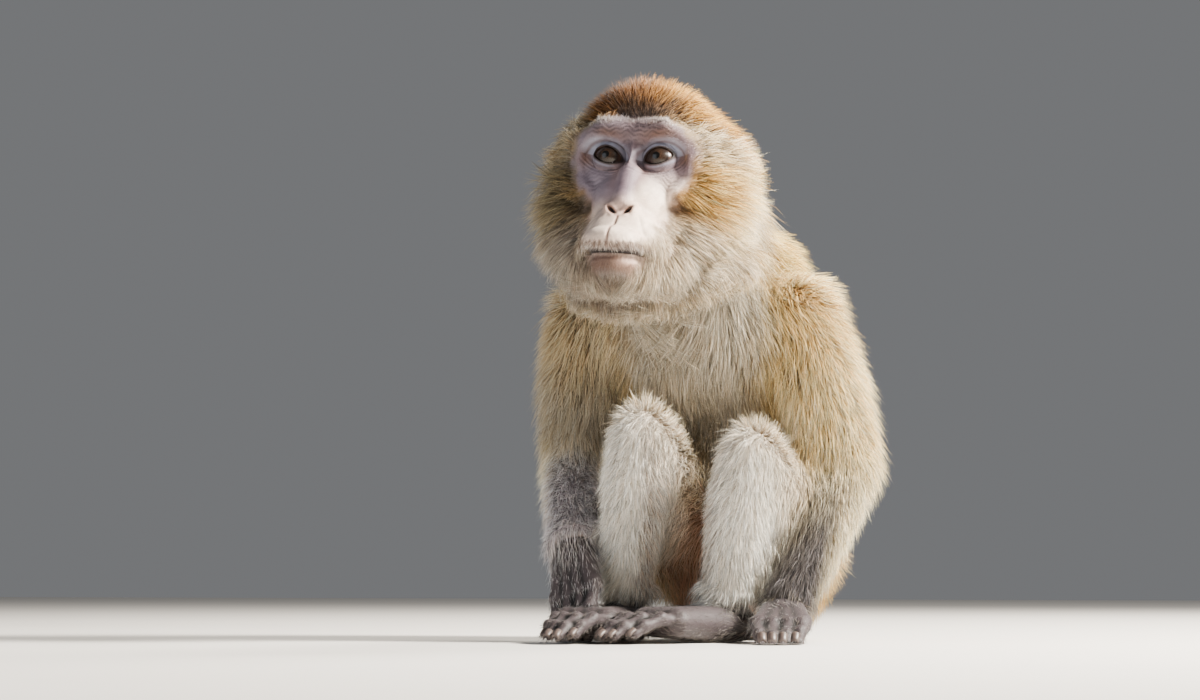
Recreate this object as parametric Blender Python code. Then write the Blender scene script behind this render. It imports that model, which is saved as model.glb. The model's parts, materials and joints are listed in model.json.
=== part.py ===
"""Life-size long-tailed macaque, seated, as a still model.

Metres, +Z up. The animal faces -Y, its left side is +X, and it sits on the plane z = 0 with the origin in
the middle of its seat. Each solid reaches out to the tips of the coat. The trunk and each limb is fused from
round masses, then parted at plane cuts, and every piece keeps clear of its neighbours.
"""

import math

import bmesh
import bpy
from mathutils import Matrix, Quaternion, Vector

GAP = 0.0003
CLEARANCE = 0.0026

# Driving sizes of the animal.
TAIL = 0.440
EYE_SPACING = 0.0334
EYE_RADIUS = 0.0102
PALM = 0.040
SOLE = 0.058

# Joints of the trunk and head, measured from the floor below the breastbone. SEAT becomes the origin.
SEAT = Vector((0.006, 0.062, 0.000))
PELVIS = Vector((0.006, 0.062, 0.060))
CHEST = Vector((0.000, 0.014, 0.205))
EYES = Vector((-0.0046, -0.0990, 0.3086))
HEAD_YAW = 9.0
HEAD_PITCH = 8.0
HEAD_ROLL = 3.6

# Joints of the limbs, from the trunk outward.
SHOULDER = {"left": Vector((0.059, 0.020, 0.212)), "right": Vector((-0.071, -0.012, 0.214))}
ELBOW = {"left": Vector((0.096, 0.022, 0.114)), "right": Vector((-0.112, 0.042, 0.128))}
WRIST = {"left": Vector((0.068, -0.024, 0.021)), "right": Vector((-0.070, -0.048, 0.060))}
HIP = {"left": Vector((0.042, 0.052, 0.060)), "right": Vector((-0.030, 0.052, 0.060))}
KNEE = {"left": Vector((0.057, -0.052, 0.123)), "right": Vector((-0.020, -0.052, 0.138))}
ANKLE = {"left": Vector((0.027, -0.024, 0.020)), "right": Vector((-0.041, -0.030, 0.021))}
FOOT_HEADING = {"left": -20.0, "right": 0.0}
HAND_FORWARD = {"left": Vector((0.34, -1.0, -0.25)), "right": Vector((0.36, -0.60, -0.71))}
HAND_DORSAL = {"left": Vector((0.0, 0.0, 1.0)), "right": Vector((-0.24, -0.62, 0.58))}


def toward(azimuth, elevation):
    """Unit vector: azimuth 0 is the animal's front, 90 its left; elevation is above the horizon."""
    a = math.radians(azimuth)
    e = math.radians(elevation)
    return Vector((math.sin(a) * math.cos(e), -math.cos(a) * math.cos(e), math.sin(e)))


# ---------------------------------------------------------------- mesh tools


def clear_scene():
    for obj in list(bpy.data.objects):
        bpy.data.objects.remove(obj)


def add_ball(bm, centre, radii, turn=None, detail=3):
    """An ellipsoid with the given radii, turned by a rotation matrix."""
    scale = Matrix.Diagonal((radii[0], radii[1], radii[2], 1.0))
    place = Matrix.Translation(centre) @ (turn or Matrix.Identity(4)) @ scale
    bmesh.ops.create_icosphere(bm, subdivisions=detail, radius=1.0, matrix=place)


def add_tube(bm, stations, detail=2):
    """Round masses along a line of (centre, radius) stations, close enough to fuse to a smooth limb."""
    for (a, ra), (b, rb) in zip(stations, stations[1:]):
        steps = max(2, math.ceil((b - a).length / (0.30 * min(ra, rb))))
        for i in range(steps + 1):
            t = i / steps
            radius = ra + (rb - ra) * t
            add_ball(bm, a.lerp(b, t), (radius, radius, radius), detail=detail)


def new_object(name, mesh):
    obj = bpy.data.objects.new(name, mesh)
    bpy.context.scene.collection.objects.link(obj)
    return obj


def settle(obj):
    """Applies the object's modifiers to its mesh."""
    bpy.context.view_layer.update()
    graph = bpy.context.evaluated_depsgraph_get()
    mesh = bpy.data.meshes.new_from_object(obj.evaluated_get(graph))
    obj.modifiers.clear()
    obj.data = mesh
    return obj


def fuse(name, bm, voxel, smoothing, carve=None):
    """One closed body from the masses in bm, smoothed, and carved by a function of its mesh."""
    mesh = bpy.data.meshes.new(name)
    bm.to_mesh(mesh)
    bm.free()
    obj = new_object(name, mesh)
    remesh = obj.modifiers.new("fuse", "REMESH")
    remesh.mode = "VOXEL"
    remesh.voxel_size = voxel
    smooth = obj.modifiers.new("smooth", "SMOOTH")
    smooth.factor = 0.5
    smooth.iterations = smoothing
    settle(obj)
    if carve:
        carve(obj.data)
    return obj


def thin_out(obj, triangles):
    """Brings obj down to about so many triangles."""
    obj.data.calc_loop_triangles()
    ratio = triangles / len(obj.data.loop_triangles)
    if ratio < 1.0:
        decimate = obj.modifiers.new("decimate", "DECIMATE")
        decimate.ratio = ratio
        settle(obj)


def combine(obj, cutter, operation):
    boolean = obj.modifiers.new("combine", "BOOLEAN")
    boolean.operation = operation
    boolean.solver = "EXACT"
    boolean.object = cutter
    settle(obj)


def surrounding(obj, triangles, amount=CLEARANCE):
    """A coarse helper body that encloses obj, its surface moved out by amount."""
    helper = new_object("surrounding", obj.data.copy())
    helper.hide_render = True
    helper.display_type = "WIRE"
    thin_out(helper, triangles)
    mesh = helper.data
    shifts = [v.normal * amount for v in mesh.vertices]
    for vertex, shift in zip(mesh.vertices, shifts):
        vertex.co += shift
    return helper


def make_room(obj, helpers):
    """Cuts obj back to what lies outside the helpers."""
    for helper in helpers:
        combine(obj, helper, "DIFFERENCE")
    keep_largest(obj)


def flat_bottom(obj):
    """Cuts off what lies below the seat plane, leaving flats at z = 0."""
    bm = bmesh.new()
    bmesh.ops.create_cube(bm, size=1.0, matrix=Matrix.Translation((0.0, 0.0, -0.5)))
    mesh = bpy.data.meshes.new("ground")
    bm.to_mesh(mesh)
    bm.free()
    ground = new_object("ground", mesh)
    combine(obj, ground, "DIFFERENCE")
    bpy.data.objects.remove(ground)


def keep_largest(obj):
    """Leaves only the largest connected body of obj."""
    bm = bmesh.new()
    bm.from_mesh(obj.data)
    bm.faces.ensure_lookup_table()
    seen = set()
    largest = []
    for start in bm.faces:
        if start.index in seen:
            continue
        seen.add(start.index)
        island = [start]
        for face in island:
            for edge in face.edges:
                for other in edge.link_faces:
                    if other.index not in seen:
                        seen.add(other.index)
                        island.append(other)
        if len(island) > len(largest):
            largest = island
    kept = {face.index for face in largest}
    rest = [face for face in bm.faces if face.index not in kept]
    bmesh.ops.delete(bm, geom=rest, context="FACES")
    bm.to_mesh(obj.data)
    bm.free()


def side_of(mesh, centre, axis, name):
    """The part of a closed mesh that lies along the axis from the centre, its cut face closed."""
    bm = bmesh.new()
    bm.from_mesh(mesh)
    everything = bm.verts[:] + bm.edges[:] + bm.faces[:]
    bmesh.ops.bisect_plane(bm, geom=everything, plane_co=centre, plane_no=axis, clear_inner=True)
    rim = [edge for edge in bm.edges if edge.is_boundary]
    filled = bmesh.ops.holes_fill(bm, edges=rim, sides=0)
    bmesh.ops.triangulate(bm, faces=filled["faces"])
    bmesh.ops.recalc_face_normals(bm, faces=bm.faces[:])
    part = bpy.data.meshes.new(name)
    bm.to_mesh(part)
    bm.free()
    return part


def part_along(obj, cuts, rest_name):
    """Parts obj along its length at plane cuts, each (name, centre, axis).

    The piece behind a cut takes its name, the next cut works on what lies ahead along the axis, and what is
    left after the last cut takes rest_name.
    """
    parts = {}
    for name, centre, axis in cuts:
        parts[name] = new_object(name, side_of(obj.data, centre - axis * GAP, -axis, name))
        keep_largest(parts[name])
        obj.data = side_of(obj.data, centre + axis * GAP, axis, "rest")
        keep_largest(obj)
    obj.name = rest_name
    parts[rest_name] = obj
    return parts


def material(name, colour, roughness):
    made = bpy.data.materials.new(name)
    made.use_nodes = True
    shader = made.node_tree.nodes["Principled BSDF"]
    shader.inputs["Base Color"].default_value = (*colour, 1.0)
    shader.inputs["Roughness"].default_value = roughness
    shader.inputs["Metallic"].default_value = 0.0
    return made


def finish(obj, finish_material):
    obj.data.materials.clear()
    obj.data.materials.append(finish_material)
    obj.data.shade_smooth()
    obj.data.set_sharp_from_angle(angle=math.radians(50))


# ---------------------------------------------------------------- trunk and head


def head_frame():
    """The head's own frame: its origin between the eyes, facing -Y, with the animal's left at +X."""
    yaw = Matrix.Rotation(math.radians(HEAD_YAW), 4, "Z")
    pitch = Matrix.Rotation(math.radians(-HEAD_PITCH), 4, "X")
    roll = Matrix.Rotation(math.radians(HEAD_ROLL), 4, "Y")
    return Matrix.Translation(EYES) @ yaw @ pitch @ roll


def add_trunk(bm):
    """Pelvis, belly, back, chest, shoulders and neck."""
    masses = (
        (PELVIS, (0.064, 0.060, 0.064)),
        (PELVIS + Vector((0.0, 0.010, -0.012)), (0.060, 0.052, 0.052)),
        (Vector((0.009, 0.056, 0.112)), (0.062, 0.060, 0.060)),
        (Vector((0.006, 0.058, 0.160)), (0.066, 0.058, 0.062)),
        (Vector((0.004, 0.053, 0.198)), (0.065, 0.054, 0.048)),
        (CHEST, (0.066, 0.058, 0.060)),
        (Vector((0.002, 0.044, 0.222)), (0.062, 0.046, 0.050)),
        (Vector((0.008, 0.044, 0.240)), (0.052, 0.048, 0.046)),
        (Vector((-0.002, -0.004, 0.232)), (0.052, 0.052, 0.050)),
    )
    for centre, radii in masses:
        add_ball(bm, centre, radii)
    for shoulder in SHOULDER.values():
        add_tube(bm, [(CHEST + Vector((0, 0, 0.012)), 0.046), (shoulder, 0.027)])
    neck_base = Vector((0.000, 0.026, 0.240))
    neck_top = head_frame() @ Vector((0.0, 0.060, -0.010))
    add_tube(bm, [(neck_base, 0.054), (neck_top, 0.053)])


class HeadMasses:
    """Adds round masses placed in the head's own frame, each one mirrored when it lies off the middle."""

    def __init__(self, bm):
        self.bm = bm
        self.frame = head_frame()
        self.turn = self.frame.to_3x3().to_4x4()

    def ball(self, x, y, z, rx, ry, rz, tip=0.0):
        spin = self.turn @ Matrix.Rotation(math.radians(tip), 4, "X")
        for side in (1, -1) if x else (1,):
            add_ball(self.bm, self.frame @ Vector((side * x, y, z)), (rx, ry, rz), spin)

    def line(self, *points):
        for side in (1, -1) if any(p[0] for p in points) else (1,):
            add_tube(self.bm, [(self.frame @ Vector((side * x, y, z)), r) for x, y, z, r in points])


def add_head_coat(bm):
    """Crown, temples, cheek ruff and throat, out to the tips of the coat."""
    head = HeadMasses(bm)
    head.ball(0, 0.050, 0.014, 0.058, 0.060, 0.048)
    head.ball(0, 0.034, 0.034, 0.044, 0.034, 0.031)
    head.ball(0, 0.042, 0.006, 0.074, 0.036, 0.044)
    head.ball(0, 0.039, -0.020, 0.086, 0.031, 0.050)
    head.ball(0, 0.034, -0.044, 0.077, 0.035, 0.045)


def add_face(bm):
    """Brow, cheekbones, muzzle, nose, lips and chin."""
    head = HeadMasses(bm)
    head.ball(0, 0.022, -0.010, 0.040, 0.022, 0.032)
    head.line((0.0, 0.006, 0.0160, 0.0085), (0.019, 0.004, 0.0180, 0.0084), (0.036, 0.013, 0.0105, 0.0090))
    head.line((0.036, 0.013, 0.0105, 0.0088), (0.038, 0.016, -0.012, 0.0088), (0.029, 0.011, -0.023, 0.0082))
    head.line((0.040, 0.025, 0.0120, 0.0120), (0.043, 0.028, -0.008, 0.0130), (0.034, 0.024, -0.028, 0.0130))
    head.line((0.034, 0.024, -0.028, 0.0130), (0.024, 0.016, -0.042, 0.0125), (0.019, 0.012, -0.056, 0.0120))
    head.line((0.0, 0.008, 0.010, 0.0075), (0.0, 0.0005, -0.012, 0.0076), (0.0, -0.0075, -0.034, 0.0078))
    head.ball(0, 0.013, -0.031, 0.027, 0.023, 0.025)
    head.ball(0, -0.006, -0.0520, 0.0230, 0.028, 0.0140, tip=48)
    head.ball(0.0062, -0.0092, -0.0385, 0.0062, 0.0066, 0.0052)
    head.ball(0, -0.0155, -0.0610, 0.0220, 0.0205, 0.0105)
    head.ball(0.0130, 0.004, -0.0590, 0.0165, 0.024, 0.0165)
    head.ball(0, -0.0125, -0.0755, 0.0165, 0.0190, 0.0085)
    head.ball(0.011, 0.010, -0.071, 0.0150, 0.025, 0.016)
    head.ball(0, -0.002, -0.0815, 0.0150, 0.0165, 0.0095)


def carve_face(mesh):
    """Sinks the eye sockets, the mouth's line and the nostrils into the fused head."""
    to_head = head_frame().inverted()
    to_world = head_frame()
    for vertex in mesh.vertices:
        p = to_head @ vertex.co
        if p.y > 0.040:
            continue
        x = abs(p.x)
        push = 0.0
        socket = ((x - EYE_SPACING / 2) / 0.0130) ** 2 + (p.z / 0.0090) ** 2
        push += 0.0050 * math.exp(-(socket**1.5))
        mouth_z = -0.0688 + 4.0 * x * x
        if x < 0.030 and p.y < 0.022:
            push += 0.0028 * math.exp(-(((p.z - mouth_z) / 0.0020) ** 2)) * (1 - (x / 0.030) ** 4)
        nostril = ((x - 0.0055 - 0.60 * (p.z + 0.0392)) / 0.0026) ** 2 + ((p.z + 0.0392) / 0.0030) ** 2
        if p.y < -0.007:
            push += 0.0030 * math.exp(-nostril)
        if push:
            vertex.co = to_world @ (p + Vector((0.0, push, 0.0)))


def build_trunk():
    """The trunk, neck and head as one body, parted by thin cuts."""
    bm = bmesh.new()
    add_trunk(bm)
    add_head_coat(bm)
    coat = fuse("coat", bm, 0.0030, 14)
    bm = bmesh.new()
    bm.from_mesh(coat.data)
    helper = surrounding(coat, 1400)
    bpy.data.objects.remove(coat)
    add_face(bm)
    whole = fuse("trunk", bm, 0.0020, 3, carve_face)
    nape = Vector((0.0, 0.62, -0.78)).normalized()
    down = Vector((0.0, 0.12, -1.0)).normalized()
    throat = Vector((0.000, -0.0290, 0.2620))
    cuts = (
        ("head", throat, nape),
        ("neck", throat + nape * 0.028, nape),
        ("chest", Vector((0.006, 0.052, 0.158)), down),
        ("belly", Vector((0.008, 0.056, 0.090)), down),
    )
    parts = part_along(whole, cuts, "pelvis")
    for name, triangles in (("head", 1760), ("neck", 220), ("chest", 340), ("belly", 260), ("pelvis", 240)):
        thin_out(parts[name], triangles)
    flat_bottom(parts["pelvis"])
    return parts, helper


def build_ears(trunk):
    """Each ear: a thin rounded shell, hollowed on its front, that stands out of the coat behind the ruff."""
    frame = head_frame()
    ears = {}
    for side, name in ((1, "ear_left"), (-1, "ear_right")):
        bm = bmesh.new()
        centre = frame @ Vector((side * 0.055, 0.077, 0.002))
        spread = Matrix.Rotation(math.radians(-side * 30), 4, "Z")
        tilt = Matrix.Rotation(math.radians(side * 6), 4, "Y")
        turn = frame.to_3x3().to_4x4() @ spread @ tilt
        add_ball(bm, centre, (0.0150, 0.0055, 0.0200), turn)
        add_ball(bm, centre + frame.to_3x3() @ Vector((0.0, 0.0, -0.010)), (0.010, 0.0055, 0.0120), turn)
        ear = fuse(name, bm, 0.0010, 2)
        thin_out(ear, 180)
        bowl = bmesh.new()
        front = turn @ Vector((side * 0.002, -0.0065, 0.001))
        add_ball(bowl, centre + front, (0.0105, 0.0065, 0.0145), turn, detail=2)
        mesh = bpy.data.meshes.new("bowl")
        bowl.to_mesh(mesh)
        bowl.free()
        cutter = new_object("bowl", mesh)
        combine(ear, cutter, "DIFFERENCE")
        bpy.data.objects.remove(cutter)
        make_room(ear, [trunk])
        ears[name] = ear
    return ears


def build_eyes(head):
    """Round eyeballs sunk in sockets that open to the front."""
    frame = head_frame()
    eyes = {}
    for side, name in ((1, "eye_left"), (-1, "eye_right")):
        centre = frame @ Vector((side * EYE_SPACING / 2, 0.0100, 0.0))
        for radius, label in ((EYE_RADIUS + 2 * GAP, "socket"), (EYE_RADIUS, name)):
            bm = bmesh.new()
            bmesh.ops.create_uvsphere(
                bm,
                u_segments=14,
                v_segments=9,
                radius=radius,
                matrix=Matrix.Translation(centre) @ Matrix.Rotation(math.radians(90), 4, "X"),
            )
            mesh = bpy.data.meshes.new(label)
            bm.to_mesh(mesh)
            bm.free()
            ball = new_object(label, mesh)
            if label == "socket":
                combine(head, ball, "DIFFERENCE")
                bpy.data.objects.remove(ball)
            else:
                eyes[name] = ball
    return eyes


# ---------------------------------------------------------------- limbs


def frame_from(forward, dorsal):
    """Axes of a hand or foot: (across to the animal's left as seen from above, forward, dorsal)."""
    forward = forward.normalized()
    across = forward.cross(dorsal).normalized()
    dorsal = across.cross(forward).normalized()
    return -across, forward, dorsal


def digit_stations(root, axes, spread, lengths, bends, radii):
    """Joint centres of one digit: each bone turns down by its bend, about the digit's own cross axis."""
    across, forward, dorsal = axes
    heading = (Quaternion(dorsal, math.radians(spread)) @ forward).normalized()
    cross = dorsal.cross(heading).normalized()
    stations = [(root, radii[0])]
    point = root
    angle = 0.0
    for length, bend, radius in zip(lengths, bends, radii[1:]):
        angle += bend
        point = point + (Quaternion(cross, math.radians(angle)) @ heading) * length
        stations.append((point, radius))
    return stations


class Paw:
    """A hand or foot, held as its palm's stations and its digits' stations."""

    def __init__(self, wrist, forward, dorsal, inner, reach, drop, width, digits, thumb):
        self.axes = frame_from(forward, dorsal)
        across, ahead, above = self.axes
        self.inner = inner
        self.wrist = wrist
        self.knuckles = wrist + ahead * reach - above * drop
        self.width = width
        self.digits = {}
        offsets = (0.5, 0.17, -0.17, -0.5)
        for number, offset in zip((2, 3, 4, 5), offsets):
            share = digits["shares"][number - 2]
            root = self.knuckles + across * (inner * offset * width)
            root = root + ahead * digits["step"][number - 2]
            spread = -inner * (offset * digits["fan"] + digits["lean"])
            self.digits[number] = digit_stations(
                root,
                self.axes,
                spread,
                [length * share for length in digits["lengths"]],
                digits["bends"],
                digits["radii"],
            )
        root = wrist + ahead * thumb["reach"] + across * (inner * thumb["out"]) - above * thumb["drop"]
        self.digits[1] = digit_stations(
            root, self.axes, -inner * thumb["spread"], thumb["lengths"], thumb["bends"], thumb["radii"]
        )

    def add_palm(self, bm, radius):
        across, ahead, above = self.axes
        for offset in (0.42, 0.14, -0.14, -0.42):
            end = self.knuckles + across * (self.inner * offset * self.width)
            start = self.wrist + across * (self.inner * offset * self.width * 0.45)
            add_tube(bm, [(start, radius * 1.25), (end, radius)])


FINGERS = {
    "shares": (0.92, 1.05, 1.0, 0.82),
    "step": (0.000, 0.002, 0.001, -0.003),
    "fan": 15.0,
    "lean": 0.0,
    "lengths": (0.020, 0.014, 0.009),
    "radii": (0.0066, 0.0060, 0.0056, 0.0048),
}
TOES = {
    "shares": (0.95, 1.05, 1.05, 0.95),
    "step": (0.001, 0.003, 0.001, -0.004),
    "fan": 14.0,
    "lean": 0.0,
    "lengths": (0.021, 0.015, 0.009),
    "radii": (0.0070, 0.0062, 0.0058, 0.0048),
}


def build_limb(stations, extra, cuts, triangles):
    """A limb's chain parted at its joints, with a helper that encloses all of it."""
    bm = bmesh.new()
    add_tube(bm, stations)
    for chain in extra:
        add_tube(bm, chain)
    whole = fuse("limb", bm, 0.0018, 6)
    helper = surrounding(whole, 500)
    parts = part_along(whole, cuts, "stub")
    bpy.data.objects.remove(parts.pop("stub"))
    for piece, count in zip(parts.values(), triangles):
        thin_out(piece, count)
        flat_bottom(piece)
    return parts, helper


def build_paw(name, paw, palm_radius, stems, cut, triangles):
    """A hand or foot with its digits as one body, ended by the same plane as the limb."""
    bm = bmesh.new()
    paw.add_palm(bm, palm_radius)
    for chain in list(paw.digits.values()) + stems:
        add_tube(bm, chain)
    whole = fuse("paw", bm, 0.0012, 3)
    helper = surrounding(whole, 600)
    parts = part_along(whole, [("stub", *cut[1:])], name)
    bpy.data.objects.remove(parts["stub"])
    thin_out(parts[name], triangles)
    flat_bottom(parts[name])
    return parts[name], helper


def build_arm(side, bends, lean, thumb):
    """One arm from the shoulder to the wrist, with its hand."""
    inner = -1 if side == "left" else 1
    shoulder, elbow, wrist = SHOULDER[side], ELBOW[side], WRIST[side]
    stations = [
        (shoulder, 0.0385),
        (shoulder.lerp(elbow, 0.45), 0.0375),
        (elbow, 0.0270),
        (elbow.lerp(wrist, 0.25), 0.0270),
        (elbow.lerp(wrist, 0.75), 0.0215),
        (wrist, 0.0165),
    ]
    fingers = dict(FINGERS, bends=bends, lean=lean)
    paw = Paw(wrist, HAND_FORWARD[side], HAND_DORSAL[side], inner, PALM, 0.000, 0.030, fingers, thumb)
    upper = (elbow - shoulder).normalized()
    lower = (wrist - elbow).normalized()
    palm = (paw.knuckles - wrist).normalized()
    cuts = (
        (f"upper_arm_{side}", elbow, (upper + lower).normalized()),
        (f"forearm_{side}", wrist, (lower + palm).normalized()),
    )
    stations.append((wrist.lerp(paw.knuckles, 0.35), 0.0125))
    parts, arm_helper = build_limb(stations, [], cuts, (200, 200))
    stems = [[(elbow.lerp(wrist, 0.85), 0.0185), (wrist, 0.0165), (wrist.lerp(paw.knuckles, 0.4), 0.0115)]]
    parts[f"hand_{side}"], hand_helper = build_paw(f"hand_{side}", paw, 0.0076, stems, cuts[1], 455)
    return parts, [arm_helper, hand_helper]


def build_leg(side):
    """One leg from the hip to the ankle, with its foot."""
    inner = -1 if side == "left" else 1
    hip, knee, ankle = HIP[side], KNEE[side], ANKLE[side]
    stations = [
        (hip, 0.0430),
        (hip.lerp(knee, 0.45), 0.0390),
        (knee, 0.0245),
        (knee.lerp(ankle, 0.28), 0.0270),
        (knee.lerp(ankle, 0.65), 0.0225),
        (ankle, 0.0180),
    ]
    forward = toward(FOOT_HEADING[side], 0)
    sole = Vector((ankle.x, ankle.y, 0.0118))
    heel = sole - forward * 0.014
    toes = dict(TOES, bends=(-2.0, 20.0, 12.0))
    hallux = {
        "reach": 0.022,
        "out": 0.012,
        "drop": 0.004,
        "spread": 38.0,
        "lengths": (0.016, 0.013),
        "bends": (2.0, 6.0),
        "radii": (0.0078, 0.0070, 0.0058),
    }
    paw = Paw(sole, forward, Vector((0, 0, 1)), inner, SOLE, -0.002, 0.033, toes, hallux)
    upper = (knee - hip).normalized()
    lower = (ankle - knee).normalized()
    tread = (lower + Vector((0, 0, -2))).normalized()
    cuts = (
        (f"thigh_{side}", knee, (upper + lower).normalized()),
        (f"shank_{side}", ankle + Vector((0, 0, 0.008)), tread),
    )
    stems = [
        [(ankle, 0.0170), (heel, 0.0130)],
        [(ankle, 0.0160), (sole.lerp(paw.knuckles, 0.35), 0.0120)],
    ]
    parts, leg_helper = build_limb(stations, stems, cuts, (220, 200))
    stems.append([(ankle.lerp(knee, 0.16), 0.0192), (ankle, 0.0180)])
    parts[f"foot_{side}"], foot_helper = build_paw(f"foot_{side}", paw, 0.0105, stems, cuts[1], 455)
    return parts, [leg_helper, foot_helper]


def build_tail(trunk):
    """The tail, laid on the ground behind the rump in a hook, in four lengths."""
    root = PELVIS + Vector((0.0, 0.048, -0.012))
    lengths = 44
    step = TAIL / lengths
    heading = 12.0
    point = root
    points = [root]
    radii = [0.0145 - 0.0080 * i / lengths for i in range(lengths + 1)]
    for i in range(lengths):
        share = i / lengths
        heading += 0.6 if share < 0.30 else 8.6
        a = math.radians(heading)
        height = 0.85 * radii[i] + root.z * max(0.0, 1 - share / 0.16) ** 2
        point = Vector((point.x - math.sin(a) * step, point.y + math.cos(a) * step, height))
        points.append(point)
    stations = list(zip(points, radii))
    marks = (0, 12, 22, 33, lengths)
    parts = {}
    for name, first, last in zip(("tail_base", "tail_upper", "tail_lower", "tail_tip"), marks, marks[1:]):
        bm = bmesh.new()
        add_tube(bm, stations[max(0, first - 3) : last + 4])
        piece = fuse(name, bm, 0.0016, 4)
        if first > 0:
            axis = (points[first + 1] - points[first - 1]).normalized()
            piece.data = side_of(piece.data, points[first] + axis * GAP, axis, name)
        if last < lengths:
            axis = (points[last + 1] - points[last - 1]).normalized()
            piece.data = side_of(piece.data, points[last] - axis * GAP, -axis, name)
        thin_out(piece, 140)
        flat_bottom(piece)
        parts[name] = piece
    make_room(parts["tail_base"], [trunk])
    return parts


# ---------------------------------------------------------------- the whole animal


def main():
    clear_scene()
    coat_gold = material("coat_gold", (0.46, 0.32, 0.17), 0.85)
    coat_pale = material("coat_pale", (0.62, 0.57, 0.49), 0.85)
    coat_grey = material("coat_grey", (0.30, 0.25, 0.22), 0.85)
    skin_face = material("skin_face", (0.52, 0.38, 0.35), 0.6)
    eye_wet = material("eye_wet", (0.05, 0.03, 0.02), 0.1)

    parts, trunk = build_trunk()
    parts |= build_eyes(parts["head"])
    parts |= build_ears(trunk)
    leg_left, around_left = build_leg("left")
    leg_right, around_right = build_leg("right")
    thumb_left = {
        "reach": 0.010,
        "out": 0.010,
        "drop": 0.003,
        "spread": 48.0,
        "lengths": (0.014, 0.010),
        "bends": (4.0, 10.0),
        "radii": (0.0070, 0.0060, 0.0048),
    }
    thumb_right = dict(thumb_left, out=0.012, spread=26.0, bends=(0.0, 16.0), reach=0.014)
    arm_left, around_arm = build_arm("left", (8.0, 14.0, 12.0), 0.0, thumb_left)
    arm_right, spare = build_arm("right", (2.0, 10.0, 10.0), 12.0, thumb_right)

    for piece in leg_right.values():
        make_room(piece, [trunk])
    for piece in leg_left.values():
        make_room(piece, [trunk] + around_right + around_arm)
    for piece in arm_left.values():
        make_room(piece, [trunk])
    for piece in arm_right.values():
        make_room(piece, [trunk] + around_right)
    parts |= leg_left | leg_right | arm_left | arm_right | build_tail(trunk)
    for helper in [trunk] + around_left + around_right + around_arm + spare:
        bpy.data.objects.remove(helper)
    for obj in parts.values():
        obj.data.transform(Matrix.Translation(-SEAT))

    for name, obj in parts.items():
        if name.startswith("eye_"):
            finish(obj, eye_wet)
        elif name.startswith(("ear_", "hand_", "foot_")):
            finish(obj, coat_grey)
        elif name.startswith(("shank_", "belly", "neck")):
            finish(obj, coat_pale)
        elif name == "head":
            finish(obj, skin_face)
        else:
            finish(obj, coat_gold)


main()
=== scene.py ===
"""Life-size seated long-tailed macaque: one skin, its coat in tufts, eyes and nails."""

import json
import math

import bmesh
import bpy
import numpy as np
from mathutils import Matrix, Quaternion, Vector
from mathutils.bvhtree import BVHTree
from mathutils.kdtree import KDTree

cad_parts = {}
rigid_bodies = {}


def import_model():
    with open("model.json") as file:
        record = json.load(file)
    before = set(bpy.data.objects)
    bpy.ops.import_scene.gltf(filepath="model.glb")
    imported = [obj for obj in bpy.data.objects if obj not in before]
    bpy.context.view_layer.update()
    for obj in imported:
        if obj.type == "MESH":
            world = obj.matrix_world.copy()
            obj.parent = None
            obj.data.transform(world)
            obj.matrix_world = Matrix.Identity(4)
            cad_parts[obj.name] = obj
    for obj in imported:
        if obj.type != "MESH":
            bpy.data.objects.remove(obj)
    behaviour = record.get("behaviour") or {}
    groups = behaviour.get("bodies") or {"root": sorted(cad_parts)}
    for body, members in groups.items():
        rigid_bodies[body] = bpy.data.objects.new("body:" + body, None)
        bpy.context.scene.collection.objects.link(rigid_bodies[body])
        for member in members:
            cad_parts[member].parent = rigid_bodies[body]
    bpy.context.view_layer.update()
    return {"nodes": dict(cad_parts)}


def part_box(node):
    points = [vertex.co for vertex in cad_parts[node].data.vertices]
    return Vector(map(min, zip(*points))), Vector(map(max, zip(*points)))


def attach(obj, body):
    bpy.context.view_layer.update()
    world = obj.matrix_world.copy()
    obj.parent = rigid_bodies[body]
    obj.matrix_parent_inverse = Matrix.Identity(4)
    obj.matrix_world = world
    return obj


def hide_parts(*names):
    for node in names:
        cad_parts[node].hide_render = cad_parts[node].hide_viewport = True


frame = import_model()

# --- sizes and joints, in metres

EYE_SPACING = 0.0334
EYE_RADIUS = 0.0102
EYE_SETBACK = 0.010
HEAD_YAW = 9.0
HEAD_PITCH = 8.0
HEAD_ROLL = 3.6
PALM = 0.040
SOLE = 0.058
SIDES = ("left", "right")
OUTWARD = {"left": 1.0, "right": -1.0}
CHEST = Vector((-0.006, -0.048, 0.205))
NECK_BASE = Vector((-0.006, -0.036, 0.240))


def pair(left, right):
    """A place or direction on each side."""
    return {"left": Vector(left), "right": Vector(right)}


SHOULDER = pair((0.053, -0.042, 0.212), (-0.077, -0.074, 0.214))
ELBOW = pair((0.090, -0.040, 0.114), (-0.118, -0.020, 0.128))
WRIST = pair((0.062, -0.086, 0.021), (-0.076, -0.110, 0.060))
HIP = pair((0.036, -0.010, 0.060), (-0.036, -0.010, 0.060))
KNEE = pair((0.051, -0.114, 0.123), (-0.026, -0.114, 0.138))
ANKLE = pair((0.021, -0.086, 0.020), (-0.047, -0.092, 0.021))
HAND_FORWARD = pair((0.34, -1.0, -0.25), (0.36, -0.60, -0.71))
HAND_DORSAL = pair((0.0, 0.0, 1.0), (-0.24, -0.62, 0.58))
FOOT_HEADING = {"left": -20.0, "right": 0.0}
# The joints at the ends of each long part of a limb.
BONES = {
    "upper_arm": (SHOULDER, ELBOW),
    "forearm": (ELBOW, WRIST),
    "thigh": (HIP, KNEE),
    "shank": (KNEE, ANKLE),
}

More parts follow.
